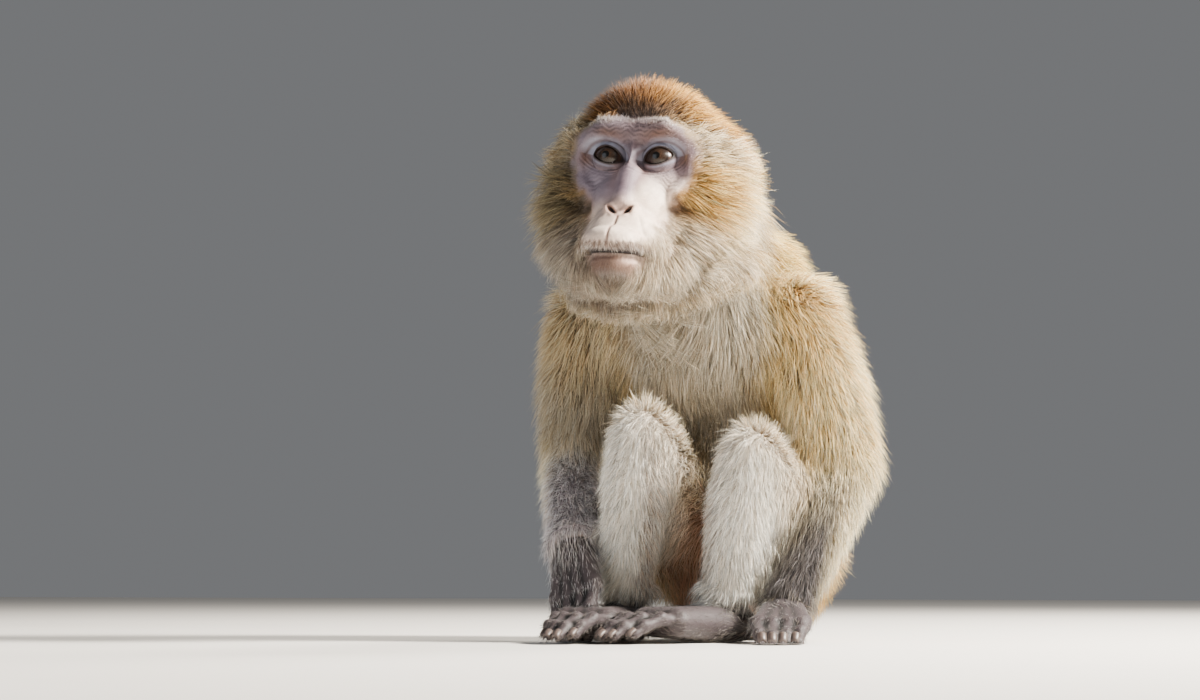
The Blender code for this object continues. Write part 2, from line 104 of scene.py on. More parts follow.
GROUPS = "head ear neck chest belly pelvis upper_arm forearm hand thigh shank foot tail".split()
FLESH = sorted(name for name in frame["nodes"] if not name.startswith("eye_"))
SWELL = 0.0014  # the solids are moved out by this much so that they meet
EYES = sum((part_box(f"eye_{side}")[0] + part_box(f"eye_{side}")[1] for side in SIDES), Vector()) / 4


def group_of(name):
    return next(g for g in GROUPS if name.startswith(g))


def head_frame():
    """The head's own frame: its origin between the fronts of the eyes, facing -Y, its left at +X."""
    yaw = Matrix.Rotation(math.radians(HEAD_YAW), 4, "Z")
    pitch = Matrix.Rotation(math.radians(-HEAD_PITCH), 4, "X")
    turn = yaw @ pitch @ Matrix.Rotation(math.radians(HEAD_ROLL), 4, "Y")
    return Matrix.Translation(EYES - turn @ Vector((0.0, EYE_SETBACK, 0.0))) @ turn


HEAD = head_frame()
HEAD_TURN = np.array(HEAD.to_3x3())
HEAD_PLACE = np.array(HEAD.translation)


def to_head(points):
    """World points as millimetres in the head's own frame."""
    return (points - HEAD_PLACE) @ HEAD_TURN * 1000.0


def from_head(points):
    return (points / 1000.0) @ HEAD_TURN.T + HEAD_PLACE


# --- numbers over a surface


def ramp(low, high, value):
    t = np.clip((value - low) / (high - low), 0.0, 1.0)
    return t * t * (3.0 - 2.0 * t)


def bell(value, width):
    return np.exp(-((value / width) ** 2))


def unit(vectors):
    return vectors / np.maximum(np.linalg.norm(vectors, axis=1, keepdims=True), 1e-9)


def ways(x, y, z):
    """Directions from their three parts, each an array or one number for all."""
    return np.stack(np.broadcast_arrays(x, y, z), axis=1)


def blend(a, b, share):
    """From a to b by a share, which may be one for each of many colours."""
    share = np.asarray(share, float)
    if share.ndim == 1 and (np.shape(a)[-1:] == (3,) or np.shape(b)[-1:] == (3,)):
        share = share[:, None]
    return a * (1.0 - share) + b * share


def colour(red, green, blue):
    """A display colour, 0 to 255, as linear light."""
    value = np.array((red, green, blue)) / 255.0
    return np.where(value <= 0.04045, value / 12.92, ((value + 0.055) / 1.055) ** 2.4)


def painted(base, *layers):
    """The base with layers of (share, display colour) laid over it in turn."""
    for share, tone in layers:
        base = blend(base, colour(*tone), share)
    return base


def drift(points, size, seed):
    """A smooth wandering value of about -1 to 1, with features of the given size."""
    random = np.random.default_rng(seed)
    total = np.zeros(len(points))
    for _ in range(9):
        wave = random.normal(size=3)
        wave *= 2.0 * math.pi / (size * random.uniform(0.7, 1.6)) / np.linalg.norm(wave)
        total += np.sin(points @ wave + random.uniform(0.0, 2.0 * math.pi))
    return total / 3.0


def along(points, a, b):
    """How far each point lies on the way from a to b, 0 to 1."""
    a, b = np.array(a), np.array(b)
    return np.clip((points - a) @ (b - a) / ((b - a) @ (b - a)), 0.0, 1.0)


def down_limb(points, part, side):
    start, end = BONES[part]
    return along(points, start[side], end[side])


def read(items, key, width, kind=float):
    """One value of every item as an array."""
    values = np.empty((len(items), width), kind)
    items.foreach_get(key, values.ravel())
    return values


class Surface:
    """A mesh's points, triangles and neighbours as arrays."""

    def __init__(self, mesh):
        mesh.calc_loop_triangles()
        self.points = read(mesh.vertices, "co", 3)
        self.triangles = read(mesh.loop_triangles, "vertices", 3, np.int64)
        self.corners = read(mesh.loop_triangles, "loops", 3, np.int64)
        self.edges = read(mesh.edges, "vertices", 2, np.int64)
        self.degree = np.bincount(self.edges.ravel(), minlength=len(self.points)).astype(float)

    def crosses(self):
        """Each triangle's normal, twice its area long."""
        a, b, c = (self.points[self.triangles[:, i]] for i in range(3))
        return np.cross(b - a, c - a)

    def normals(self):
        cross = self.crosses()
        total = np.zeros_like(self.points)
        for i in range(3):
            for axis in range(3):
                total[:, axis] += np.bincount(self.triangles[:, i], cross[:, axis], len(self.points))
        return unit(total)

    def spread(self, values, rounds, share=0.5):
        """The values, each moved toward its neighbours' mean a number of times."""
        flat = values.reshape(len(values), -1).astype(float).copy()
        first, second = self.edges.T
        for _ in range(rounds):
            for column in range(flat.shape[1]):
                v = flat[:, column]
                total = np.bincount(first, v[second], len(v)) + np.bincount(second, v[first], len(v))
                flat[:, column] = v + share * (total / np.maximum(self.degree, 1.0) - v)
        return flat.reshape(values.shape)


# --- mesh tools


def link(name, mesh):
    obj = bpy.data.objects.new(name, mesh)
    bpy.context.scene.collection.objects.link(obj)
    return obj


def from_bmesh(name, bm):
    mesh = bpy.data.meshes.new(name)
    bm.to_mesh(mesh)
    bm.free()
    return link(name, mesh)


def joined(name, points, triangles):
    """A mesh of many small copies, from their joined arrays."""
    mesh = bpy.data.meshes.new(name)
    mesh.vertices.add(len(points))
    mesh.vertices.foreach_set("co", np.ascontiguousarray(points, np.float32).ravel())
    mesh.loops.add(triangles.size)
    mesh.loops.foreach_set("vertex_index", np.ascontiguousarray(triangles, np.int32).ravel())
    mesh.polygons.add(len(triangles))
    mesh.polygons.foreach_set("loop_start", np.arange(0, triangles.size, 3, dtype=np.int32))
    mesh.update(calc_edges=True)
    return mesh


def add_tint(mesh, tints):
    layer = mesh.attributes.new("tint", "FLOAT_COLOR", "POINT")
    layer.data.foreach_set("color", tints.astype(np.float32).ravel())


def round_ball(detail):
    bm = bmesh.new()
    bmesh.ops.create_icosphere(bm, subdivisions=detail, radius=1.0)
    points = np.array([v.co for v in bm.verts])
    triangles = np.array([[v.index for v in face.verts] for face in bm.faces])
    bm.free()
    return points, triangles


BALLS = {detail: round_ball(detail) for detail in (2, 3)}


class Masses:
    """Round masses collected from copies of one ball, to be fused to one closed body."""

    def __init__(self):
        self.points = []
        self.triangles = []
        self.count = 0

    def add(self, points, triangles):
        self.points.append(points)
        self.triangles.append(triangles + self.count)
        self.count += len(points)

    def ball(self, centre, radii, turn=None, detail=3):
        """An ellipsoid with the given radii, turned by a rotation matrix."""
        points, triangles = BALLS[detail]
        turned = (points * np.array(radii)) @ np.array((turn or Matrix.Identity(4)).to_3x3()).T
        self.add(turned + np.array(centre), triangles)

    def tube(self, *stations):
        """Masses along a line of (centre, radius) stations, close enough to fuse to a smooth limb."""
        for (a, ra), (b, rb) in zip(stations, stations[1:]):
            steps = max(2, math.ceil((b - a).length / (0.35 * min(ra, rb))))
            for i in range(steps + 1):
                radius = ra + (rb - ra) * (i / steps)
                self.ball(a.lerp(b, i / steps), (radius, radius, radius), detail=2)


def settle(obj):
    """Applies the object's modifiers to its mesh."""
    bpy.context.view_layer.update()
    graph = bpy.context.evaluated_depsgraph_get()
    mesh = bpy.data.meshes.new_from_object(obj.evaluated_get(graph))
    obj.modifiers.clear()
    obj.data = mesh
    return obj


def fuse(obj, voxel, smoothing):
    """One closed body from the masses in obj, smoothed."""
    remesh = obj.modifiers.new("fuse", "REMESH")
    remesh.mode = "VOXEL"
    remesh.voxel_size = voxel
    smooth = obj.modifiers.new("smooth", "SMOOTH")
    smooth.factor = 0.5
    smooth.iterations = smoothing
    return settle(obj)


# --- the outline of the coat and the flesh

# Depth of the coat over a part, and over a limb's part where it starts, with what it loses by the end.
BODY_COAT = {"neck": 0.017, "chest": 0.015, "belly": 0.014, "pelvis": 0.011, "tail": 0.0050}
LIMB_COAT = {"upper_arm": (0.015, 0.004), "forearm": (0.0125, 0.0065)}
LIMB_COAT |= {"thigh": (0.014, 0.003), "shank": (0.0115, 0.0055)}
OTHER_COAT = 0.013
FLESH_VOXEL = 0.0026
OUTLINE_VOXEL = 0.0028
INWARD_STEPS = 6


def gathered(names):
    """The solids of these names in one object, moved out a little so that they meet."""
    bm = bmesh.new()
    for name in names:
        bm.from_mesh(frame["nodes"][name].data)
    bmesh.ops.remove_doubles(bm, verts=bm.verts[:], dist=1e-6)
    bm.normal_update()
    shifts = [v.normal * SWELL for v in bm.verts]
    for vertex, shift in zip(bm.verts, shifts):
        vertex.co += shift
    return from_bmesh("gathered", bm)


def part_finder():
    """A tree over every solid of flesh, with the number of the node each face belongs to."""
    points, faces, owners = [], [], []
    for number, name in enumerate(FLESH):
        mesh = frame["nodes"][name].data
        base = len(points)
        points += [v.co.copy() for v in mesh.vertices]
        faces += [[base + i for i in polygon.vertices] for polygon in mesh.polygons]
        owners += [number] * len(mesh.polygons)
    return BVHTree.FromPolygons(points, faces), np.array(owners)


def nearest(tree, points):
    """The nearest places on a tree, the numbers of their faces, and how far off they are."""
    places, _, faces, distances = zip(*(tree.find_nearest(point) for point in points))
    return np.array(places), np.array(faces), np.array(distances)


def build_flesh(finder, owners):
    """The trunk, limbs and tail, moved in from the coat's outline by the depth of the coat."""
    names = [name for name in FLESH if group_of(name) not in ("head", "ear", "hand", "foot")]
    obj = fuse(gathered(names), FLESH_VOXEL, 6)
    surface = Surface(obj.data)
    bpy.data.objects.remove(obj)
    _, faces, _ = nearest(finder, surface.points)
    label = owners[faces]
    depth = np.full(len(surface.points), OTHER_COAT)
    for number, name in enumerate(FLESH):
        own, group = label == number, group_of(name)
        if group in BODY_COAT:
            depth[own] = BODY_COAT[group]
        elif group in LIMB_COAT:
            full, loss = LIMB_COAT[group]
            depth[own] = (full - loss * down_limb(surface.points, group, name.rsplit("_", 1)[-1]))[own]
    depth = surface.spread(depth, 18) + SWELL
    for _ in range(INWARD_STEPS):
        surface.points -= surface.normals() * (depth / INWARD_STEPS)[:, None]
        surface.points = surface.spread(surface.points, 2)
    return surface


# --- hands and feet

FINGERS = {"shares": (0.92, 1.05, 1.0, 0.82), "step": (0.000, 0.002, 0.001, -0.003), "fan": 15.0}
FINGERS |= {"lengths": (0.020, 0.014, 0.009), "radii": (0.0066, 0.0060, 0.0056, 0.0048)}
TOES = {"shares": (0.95, 1.05, 1.05, 0.95), "step": (0.001, 0.003, 0.001, -0.004), "fan": 14.0}
TOES |= {"lengths": (0.021, 0.015, 0.009), "radii": (0.0070, 0.0062, 0.0058, 0.0048)}
TOES |= {"bends": (-2.0, 20.0, 12.0), "lean": 0.0}
THUMB = {"reach": 0.010, "out": 0.010, "drop": 0.003, "spread": 48.0}
THUMB |= {"lengths": (0.014, 0.010), "bends": (4.0, 10.0), "radii": (0.0070, 0.0060, 0.0048)}
HALLUX = {"reach": 0.022, "out": 0.012, "drop": 0.004, "spread": 38.0}
HALLUX |= {"lengths": (0.016, 0.013), "bends": (2.0, 6.0), "radii": (0.0078, 0.0070, 0.0058)}
DIGIT_OFFSETS = (0.5, 0.17, -0.17, -0.5)


class Paw:
    """A hand or foot, held as its palm's stations and its digits' stations."""

    def __init__(self, wrist, forward, dorsal, inner, reach, drop, width, digits, thumb, radius):
        ahead = forward.normalized()
        across = ahead.cross(dorsal).normalized()
        above = across.cross(ahead).normalized()
        self.axes = across, ahead, above = -across, ahead, above
        self.inner = inner
        self.wrist = wrist
        self.knuckles = wrist + ahead * reach - above * drop
        self.width = width
        self.radius = radius
        root = wrist + ahead * thumb["reach"] + across * (inner * thumb["out"]) - above * thumb["drop"]
        self.digits = [self.digit(root, -inner * thumb["spread"], thumb)]
        for number, offset in enumerate(DIGIT_OFFSETS):
            root = self.knuckles + across * (inner * offset * width) + ahead * digits["step"][number]
            spread = -inner * (offset * digits["fan"] + digits["lean"])
            self.digits.append(self.digit(root, spread, digits, digits["shares"][number]))

    def digit(self, root, spread, kind, share=1.0):
        """Joint centres of one digit: each bone turns down by its bend, about the digit's own cross."""
        _, forward, dorsal = self.axes
        heading = (Quaternion(dorsal, math.radians(spread)) @ forward).normalized()
        cross = dorsal.cross(heading).normalized()
        stations = [(root, kind["radii"][0])]
        angle = 0.0
        for length, bend, radius in zip(kind["lengths"], kind["bends"], kind["radii"][1:]):
            angle += bend
            root = root + (Quaternion(cross, math.radians(angle)) @ heading) * (length * share)
            stations.append((root, radius))
        return stations

    def add_to(self, masses, trim):
        """Palm, digits, knuckles and pads, each thinner than its solid by trim."""
        across, _, above = self.axes
        for offset in (0.42, 0.14, -0.14, -0.42):
            end = self.knuckles + across * (self.inner * offset * self.width)
            start = self.wrist + across * (self.inner * offset * self.width * 0.45)
            masses.tube((start, self.radius * 1.25 - trim), (end, self.radius - trim))
        for number, chain in enumerate(self.digits):
            thin = 0.80 if number == 0 else 0.72
            slim = [(point + above * (r * (1 - thin) * 0.5), r * thin) for point, r in chain]
            waists = []
            for (a, ra), (b, rb) in zip(slim, slim[1:]):
                waists += [(a, ra), (a.lerp(b, 0.5), (ra + rb) / 2 * 0.84)]
            masses.tube(*waists, slim[-1])
            for point, r in slim[:-1]:
                masses.ball(point + above * 0.0010, (r * 1.04, r * 1.04, r * 1.04), detail=2)


def build_paws():
    """The four hands and feet by name."""
    fingers = {"left": dict(FINGERS, bends=(8.0, 14.0, 12.0), lean=0.0)}
    fingers["right"] = dict(FINGERS, bends=(2.0, 10.0, 10.0), lean=12.0)
    thumbs = {"left": THUMB, "right": dict(THUMB, out=0.012, spread=26.0, bends=(0.0, 16.0), reach=0.014)}
    paws = {}
    for side in SIDES:
        inner = -OUTWARD[side]
        hold = (HAND_FORWARD[side], HAND_DORSAL[side], inner, PALM, 0.0, 0.030)
        paws[f"hand_{side}"] = Paw(WRIST[side], *hold, fingers[side], thumbs[side], 0.0076)
        angle = math.radians(FOOT_HEADING[side])
        forward = Vector((math.sin(angle), -math.cos(angle), 0.0))
        hold = (forward, Vector((0, 0, 1)), inner, SOLE, -0.002, 0.033)
        sole = Vector((ANKLE[side].x, ANKLE[side].y, 0.0118))
        paws[f"foot_{side}"] = Paw(sole, *hold, TOES, HALLUX, 0.0105)
    return paws


def add_paws(masses, paws):
    for side in SIDES:
        hand, foot = paws[f"hand_{side}"], paws[f"foot_{side}"]
        elbow, wrist, knee, ankle = ELBOW[side], WRIST[side], KNEE[side], ANKLE[side]
        hand.add_to(masses, 0.0006)
        palm = wrist.lerp(hand.knuckles, 0.4)
        masses.tube((elbow.lerp(wrist, 0.55), 0.0130), (wrist, 0.0115), (palm, 0.0100))
        foot.add_to(masses, 0.0007)
        heel = foot.wrist - foot.axes[1] * 0.014
        masses.tube((knee.lerp(ankle, 0.5), 0.0125), (ankle, 0.0125), (heel, 0.0122))
        masses.tube((ankle, 0.0125), (foot.wrist.lerp(foot.knuckles, 0.35), 0.0112))


# --- head, in its own frame and in mm

MOUTH = -68.8  # height of the middle of the mouth
NOSE = -39.4  # height of the nostrils
EYE_MIDDLE = EYE_SETBACK * 1000.0
EAR = Vector((0.055, 0.077, 0.002))

# Round masses of the cranium and the jaws under the coat: centre and radii.
SKULL = (
    (0, 52, 12, 46, 50, 39),
    (0, 33, 26, 37, 28, 24),
    (28, 44, 6, 29, 26, 28),
    (30, 40, -18, 26, 26, 34),
    (26, 40, -44, 24, 28, 28),
    (20, 22, -66, 18, 23, 18),
    (0, 40, -60, 32, 32, 26),
)
# Brow, cheekbones, muzzle, nose, lips and chin: centre, radii and a tip forward in degrees, or a line of
# masses from (centre, radius) to (centre, radius).
FACE = (
    (0, 22, -10, 40, 22, 32),
    ((0, 6, 16, 8.5), (19, 4, 18, 8.4), (36, 13, 10.5, 9)),
    ((36, 13, 10.5, 8.8), (38, 16, -12, 8.8), (29, 11, -23, 8.2)),
    ((38, 26, 12, 11), (40, 29, -8, 12), (31, 25, -28, 12)),
    ((31, 25, -28, 12), (22, 17, -42, 11.5), (17, 14, -56, 11)),
    ((0, 8, 10, 7.5), (0, 0.5, -12, 7.6), (0, -7.5, -34, 7.8)),
    (0, 13, -31, 26.5, 23, 25),
    (0, -6, -52, 22.5, 28, 14, 48),
    (6.2, -9.2, -38.5, 6.2, 6.6, 5.2),
    (0, -15.5, -61, 21.5, 20.3, 10.3),
    (13, 4, -59, 15.5, 24, 16),
    (0, -9.2, -75, 16.5, 18, 8),
    (12, 12, -70, 15.5, 24, 15),
    (0, -1, -80, 14, 14.5, 8.5),
)
# Heights on the head and half the width of the bare face there.
FACE_EDGE = (
    *((-90, 0), (-82, 8), (-77, 12.5), (-70, 16.5), (-58, 19.5), (-46, 21.5), (-36, 23.5), (-28, 27)),
    *((-18, 34), (-6, 38.5), (4, 39), (12, 37), (18, 31), (22, 21), (25, 0)),
)


def in_head(x, y, z):
    """A place on the head, given in metres in the head's own frame."""
    return HEAD @ Vector((x, y, z))


def add_rows(masses, rows):
    """Balls and lines of a table, each one mirrored when it lies off the middle."""
    turn = HEAD.to_3x3().to_4x4()
    for row in rows:
        if isinstance(row[0], tuple):
            for side in (1, -1) if any(p[0] for p in row) else (1,):
                stations = [(side * x / 1000.0, y / 1000.0, z / 1000.0, r / 1000.0) for x, y, z, r in row]
                masses.tube(*((in_head(*place), r) for *place, r in stations))
            continue
        x, y, z, rx, ry, rz = (value / 1000.0 for value in row[:6])
        spin = turn @ Matrix.Rotation(math.radians(sum(row[6:])), 4, "X")
        for side in (1, -1) if x else (1,):
            masses.ball(in_head(side * x, y, z), (rx, ry, rz), spin)


def add_head(masses):
    """Cranium, throat and neck, then the face and the ears."""
    add_rows(masses, SKULL)
    masses.tube((in_head(0.0, 0.046, -0.058), 0.030), (CHEST + Vector((0.0, 0.0, 0.012)), 0.038))
    masses.tube((NECK_BASE, 0.040), (in_head(0.0, 0.060, -0.010), 0.038))
    add_rows(masses, FACE)
    for side in (1, -1):
        centre, turn = ear_frame(side)
        masses.ball(centre, (0.0148, 0.0046, 0.0196), turn)
        masses.ball(centre + turn @ Vector((0.0, 0.0, -0.010)), (0.0100, 0.0050, 0.0120), turn)
        masses.tube((centre, 0.0050), (in_head(side * 0.036, 0.066, 0.000), 0.0080))


def ear_frame(side):
    """An ear's middle, and its turn out from the head."""
    spread = Matrix.Rotation(math.radians(-side * 30), 4, "Z")
    tilt = Matrix.Rotation(math.radians(side * 6), 4, "Y")
    return in_head(side * EAR.x, EAR.y, EAR.z), HEAD.to_3x3().to_4x4() @ spread @ tilt


def bare_distance(local):
    """Millimetres inside the edge of the bare face, or below zero outside it."""
    x, y, z = local.T
    sideways = np.interp(z, *np.array(FACE_EDGE, float).T) - np.abs(x)
    top = 24 - 0.004 * x**2 - z
    bottom = z + 80 + 0.02 * x**2
    return np.minimum(np.minimum(sideways * 0.8, top), np.minimum(bottom, 27 - y))


def lid_shape(local):
    """For each point near an eye: how far out from the middle of the opening in shares of its edge, the
    depth of a sphere just over the eyeball and of one just inside it, the square of the distance from the
    eye's middle, the height over the opening's tilted axis, and the distance outward."""
    x, _, z = local.T
    out = np.where(x >= 0, 1, -1) * x - EYE_SPACING * 500
    rise = z - 0.165 * out
    half = np.where(rise > 0, 6.3, 5.3)
    edge = (np.abs((out - 0.2) / 9.5) ** 1.75 + np.abs(rise / half) ** 1.75) ** (1 / 1.75)
    flat = out**2 + z**2
    radius = EYE_RADIUS * 1000
    over = EYE_MIDDLE - np.sqrt(np.maximum((radius + 1.15) ** 2 - flat, 4))
    under = EYE_MIDDLE - np.sqrt(np.maximum((radius - 1.6) ** 2 - flat, 0))
    return edge, over, under, flat, rise, out


def lip_gap(x, z):
    """Height over the line of the mouth, which rises a little to its corners."""
    return z - MOUTH - 0.0040 * x * x


def sculpt_face(points):
    """Sinks the eye sockets round the lids, and cuts nostrils, the mouth, folds and wrinkles."""
    local = to_head(points)
    front = (local[:, 1] < 30) & (np.abs(local[:, 0]) < 52)
    x, depth, z = local[front].T
    wide = np.abs(x)

    edge, over, under, flat, rise, out = lid_shape(local[front])
    base = depth + 4.2 * bell(out, 14) * bell(z - 1, 9.5)
    lid = np.minimum(over, np.maximum(over, base + 9))
    fold = np.where(rise > 0, 0.55 * bell(edge - 1.52, 0.13), 0.45 * bell(edge - 1.62, 0.12))
    outside = np.minimum(blend(lid, base, ramp(1, 1.95, edge)) + fold, over + 0.25)
    near = ramp(20**2, 16**2, flat) * (depth < 22)
    y = blend(depth, blend(under + 0.3, outside, ramp(0.90, 1.00, edge)), near)

    gap = lip_gap(x, z)
    lips = ramp(29, 24, wide) * (depth < 18)
    y += lips * (3.2 * bell(gap, 1.2) - 0.8 * bell(gap - 3.4, 2.4))
    low = z - NOSE
    nose = depth < -6
    y += nose * 5 * np.exp(-(((wide - 5.4 - 0.80 * low) / 1.6) ** 2) - (low / 2.3) ** 2)
    y -= nose * 0.9 * np.exp(-(((wide - 9.2) / 1.5) ** 2) - ((low + 0.3) / 3.4) ** 2)
    y -= nose * 0.7 * bell(wide - 4.5, 1.6) * bell(low + 3.6, 1.3)
    y += nose * 1.1 * bell(x, 0.8) * ramp(-3, -6, low) * ramp(-27, -22, low)

    crease = wide - (11.5 + 0.42 * (NOSE - z))
    y += 0.7 * bell(crease, 1.1) * ramp(0, -7, low) * ramp(-28, -20, low)
    wander = 1.2 * np.sin(x * 0.31) + 0.8 * np.sin(x * 0.77 + 1.3)
    brow = bell(z - 17, 7.5) * ramp(34, 24, wide)
    y += 0.34 * brow * np.sin((z + wander) * 2.35)
    bridge = bell(x, 7) * bell(z - 3, 9)
    y += 0.22 * bridge * np.sin((z * 0.35 + wander + x * 0.4) * 2.6)
    bag = (z < 0) * bell(edge - 2, 0.55) * (flat < 400)
    y += 0.26 * bag * np.sin(edge * 17 + x * 0.15)
    cheek = bell(wide - 24, 9) * bell(z + 17, 8)
    y += 0.16 * cheek * np.sin((z + 0.35 * wide + wander) * 2.1)
    y += 0.12 * (ramp(9, 4, np.abs(gap)) * lips) * np.sin(x * 2.9 + np.sin(z))

    local[front, 1] = y
    return from_head(local)


def carve_ears(points):
    """Hollows the front of each ear inside its rim."""
    shifted = points.copy()
    for side in (1, -1):
        centre, turn = ear_frame(side)
        centre, turn = np.array(centre), np.array(turn.to_3x3())
        own = (points - centre) @ turn * 1000
        inside = (own[:, 0] / 11.5) ** 2 + ((own[:, 2] + 1) / 15.5) ** 2
        hollow = 3.6 * ramp(1.15, 0.45, inside) * (np.abs(own[:, 1]) < 7) * (own[:, 1] < 1)
        ridge = 1.2 * bell(inside - 0.55, 0.12) * (hollow > 0.3) * (own[:, 0] * side > -2)
        own[:, 1] += hollow - ridge
        moved = (own / 1000) @ turn.T + centre
        touched = hollow > 0
        shifted[touched] = moved[touched]
    return shifted


# --- one skin

SKIN_VOXEL = 0.0015
BARE_MARGIN = 9.0  # mm of coated skin round the face that stay fine
PAW_MARGIN = 0.002
THINNED = 0.94  # the share of the coated skin's points that are left out
SKIN_FLOOR = 0.0004


def build_skin(flesh, paws):
    """Flesh, head, hands and feet as one mesh, fine where the skin is bare."""
    masses = Masses()
    masses.add(flesh.points, flesh.triangles)
    add_head(masses)
    add_paws(masses, paws)
    lumps = joined("skin", np.concatenate(masses.points), np.concatenate(masses.triangles))
    skin = fuse(link("skin", lumps), SKIN_VOXEL, 3)
    points = Surface(skin.data).points
    bare = bare_distance(to_head(points)) > -BARE_MARGIN
    for name in paws:
        low, high = (np.array(corner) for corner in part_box(name))
        bare |= ((points > low - PAW_MARGIN) & (points < high + PAW_MARGIN)).all(axis=1)
    coated = np.nonzero(~bare)[0].tolist()
    skin.vertex_groups.new(name="under_coat").add(coated, 1.0, "REPLACE")
    thin = skin.modifiers.new("thin", "DECIMATE")
    thin.ratio = 1.0 - THINNED * len(coated) / len(skin.data.vertices)
    thin.vertex_group = "under_coat"
    settle(skin)
    refine(skin, lambda local: bare_distance(local) > -2.0)
    refine(skin, lambda local: lid_shape(local)[0] < 2.0)
    refine(skin, lambda local: np.abs(lid_shape(local)[0] - 1.05) < 0.25)
    points = carve_ears(sculpt_face(Surface(skin.data).points))
    points[:, 2] = np.maximum(points[:, 2], SKIN_FLOOR)
    skin.data.vertices.foreach_set("co", points.ravel())
    skin.data.update()
    skin.data.shade_smooth()
    return skin


def refine(obj, chosen):
    """Halves the edges where both ends are chosen by their place in the head's frame."""
    bm = bmesh.new()
    bm.from_mesh(obj.data)
    local = to_head(np.array([v.co for v in bm.verts]))
    picked = chosen(local) & (local[:, 1] < 24.0) & (np.abs(local[:, 0]) < 50.0)
    edges = [e for e in bm.edges if picked[e.verts[0].index] and picked[e.verts[1].index]]
    bmesh.ops.subdivide_edges(bm, edges=edges, cuts=1, use_grid_fill=True, smooth=0.0)
    bmesh.ops.triangulate(bm, faces=[f for f in bm.faces if len(f.verts) > 4])
    bm.to_mesh(obj.data)
    bm.free()


paws = build_paws()
finder, owners = part_finder()
outline = fuse(gathered(FLESH), OUTLINE_VOXEL, 4)
outline_surface = Surface(outline.data)
outline_tree = BVHTree.FromPolygons(outline_surface.points.tolist(), outline_surface.triangles.tolist())
bpy.data.objects.remove(outline)
skin = build_skin(build_flesh(finder, owners), paws)

# --- regions, lie and colours of the coat

# For each group: length and width of a tuft in mm, tufts for each area, and colours of root, middle and tip.
# The roots are darker partly as the hair's own banding and partly as painted shade deep in the coat.
COAT = {
    "head": (24.0, 0.50, 1.0, (84, 62, 34), (184, 130, 54), (236, 200, 122)),
    "ear": (9.0, 0.36, 1.6, (92, 70, 46), (164, 124, 70), (214, 184, 130)),
    "neck": (28.0, 0.58, 1.0, (84, 62, 30), (174, 128, 48), (240, 208, 126)),
    "chest": (31.0, 0.62, 1.0, (88, 66, 34), (178, 132, 50), (242, 212, 132)),
    "belly": (29.0, 0.64, 0.9, (90, 68, 36), (180, 134, 54), (238, 208, 132)),
    "pelvis": (26.0, 0.64, 0.9, (88, 66, 40), (178, 132, 64), (228, 192, 120)),
    "upper_arm": (27.0, 0.58, 1.0, (152, 124, 82), (228, 190, 118), (251, 239, 197)),
    "forearm": (20.0, 0.52, 1.1, (176, 156, 124), (240, 222, 176), (251, 245, 222)),
    "hand": (9.0, 0.34, 1.3, (66, 58, 59), (116, 107, 106), (208, 200, 194)),
    "thigh": (26.0, 0.60, 1.0, (106, 84, 62), (208, 180, 138), (238, 220, 184)),
    "shank": (18.0, 0.50, 1.4, (226, 217, 204), (246, 241, 230), (251, 248, 242)),
    "foot": (8.0, 0.34, 1.3, (42, 35, 35), (64, 56, 55), (140, 131, 126)),
    "tail": (11.0, 0.46, 1.3, (86, 74, 60), (146, 126, 98), (176, 158, 130)),
}
# The coat of a limb lies down the bone, weighed by a length, and leans this way.
LIE = {
    "upper_arm": (0.10, (0.0, 0.0, -0.3)),
    "forearm": (0.10, (0.0, 0.0, -0.25)),
    "thigh": (0.12, (0.0, 0.15, -0.75)),
    "shank": (0.10, (0.0, 0.0, 0.0)),
}


def tail_way(points):
    """The tail's heading where it curls round in the seat plane."""
    around = points - (-0.098, 0.155, 0.0)
    turning = ways(-around[:, 1], around[:, 0], 0.0)
    straight = np.tile((-0.2, 1.0, 0.0), (len(points), 1))
    return blend(straight, unit(turning), ramp(0.085, 0.125, points[:, 1]))


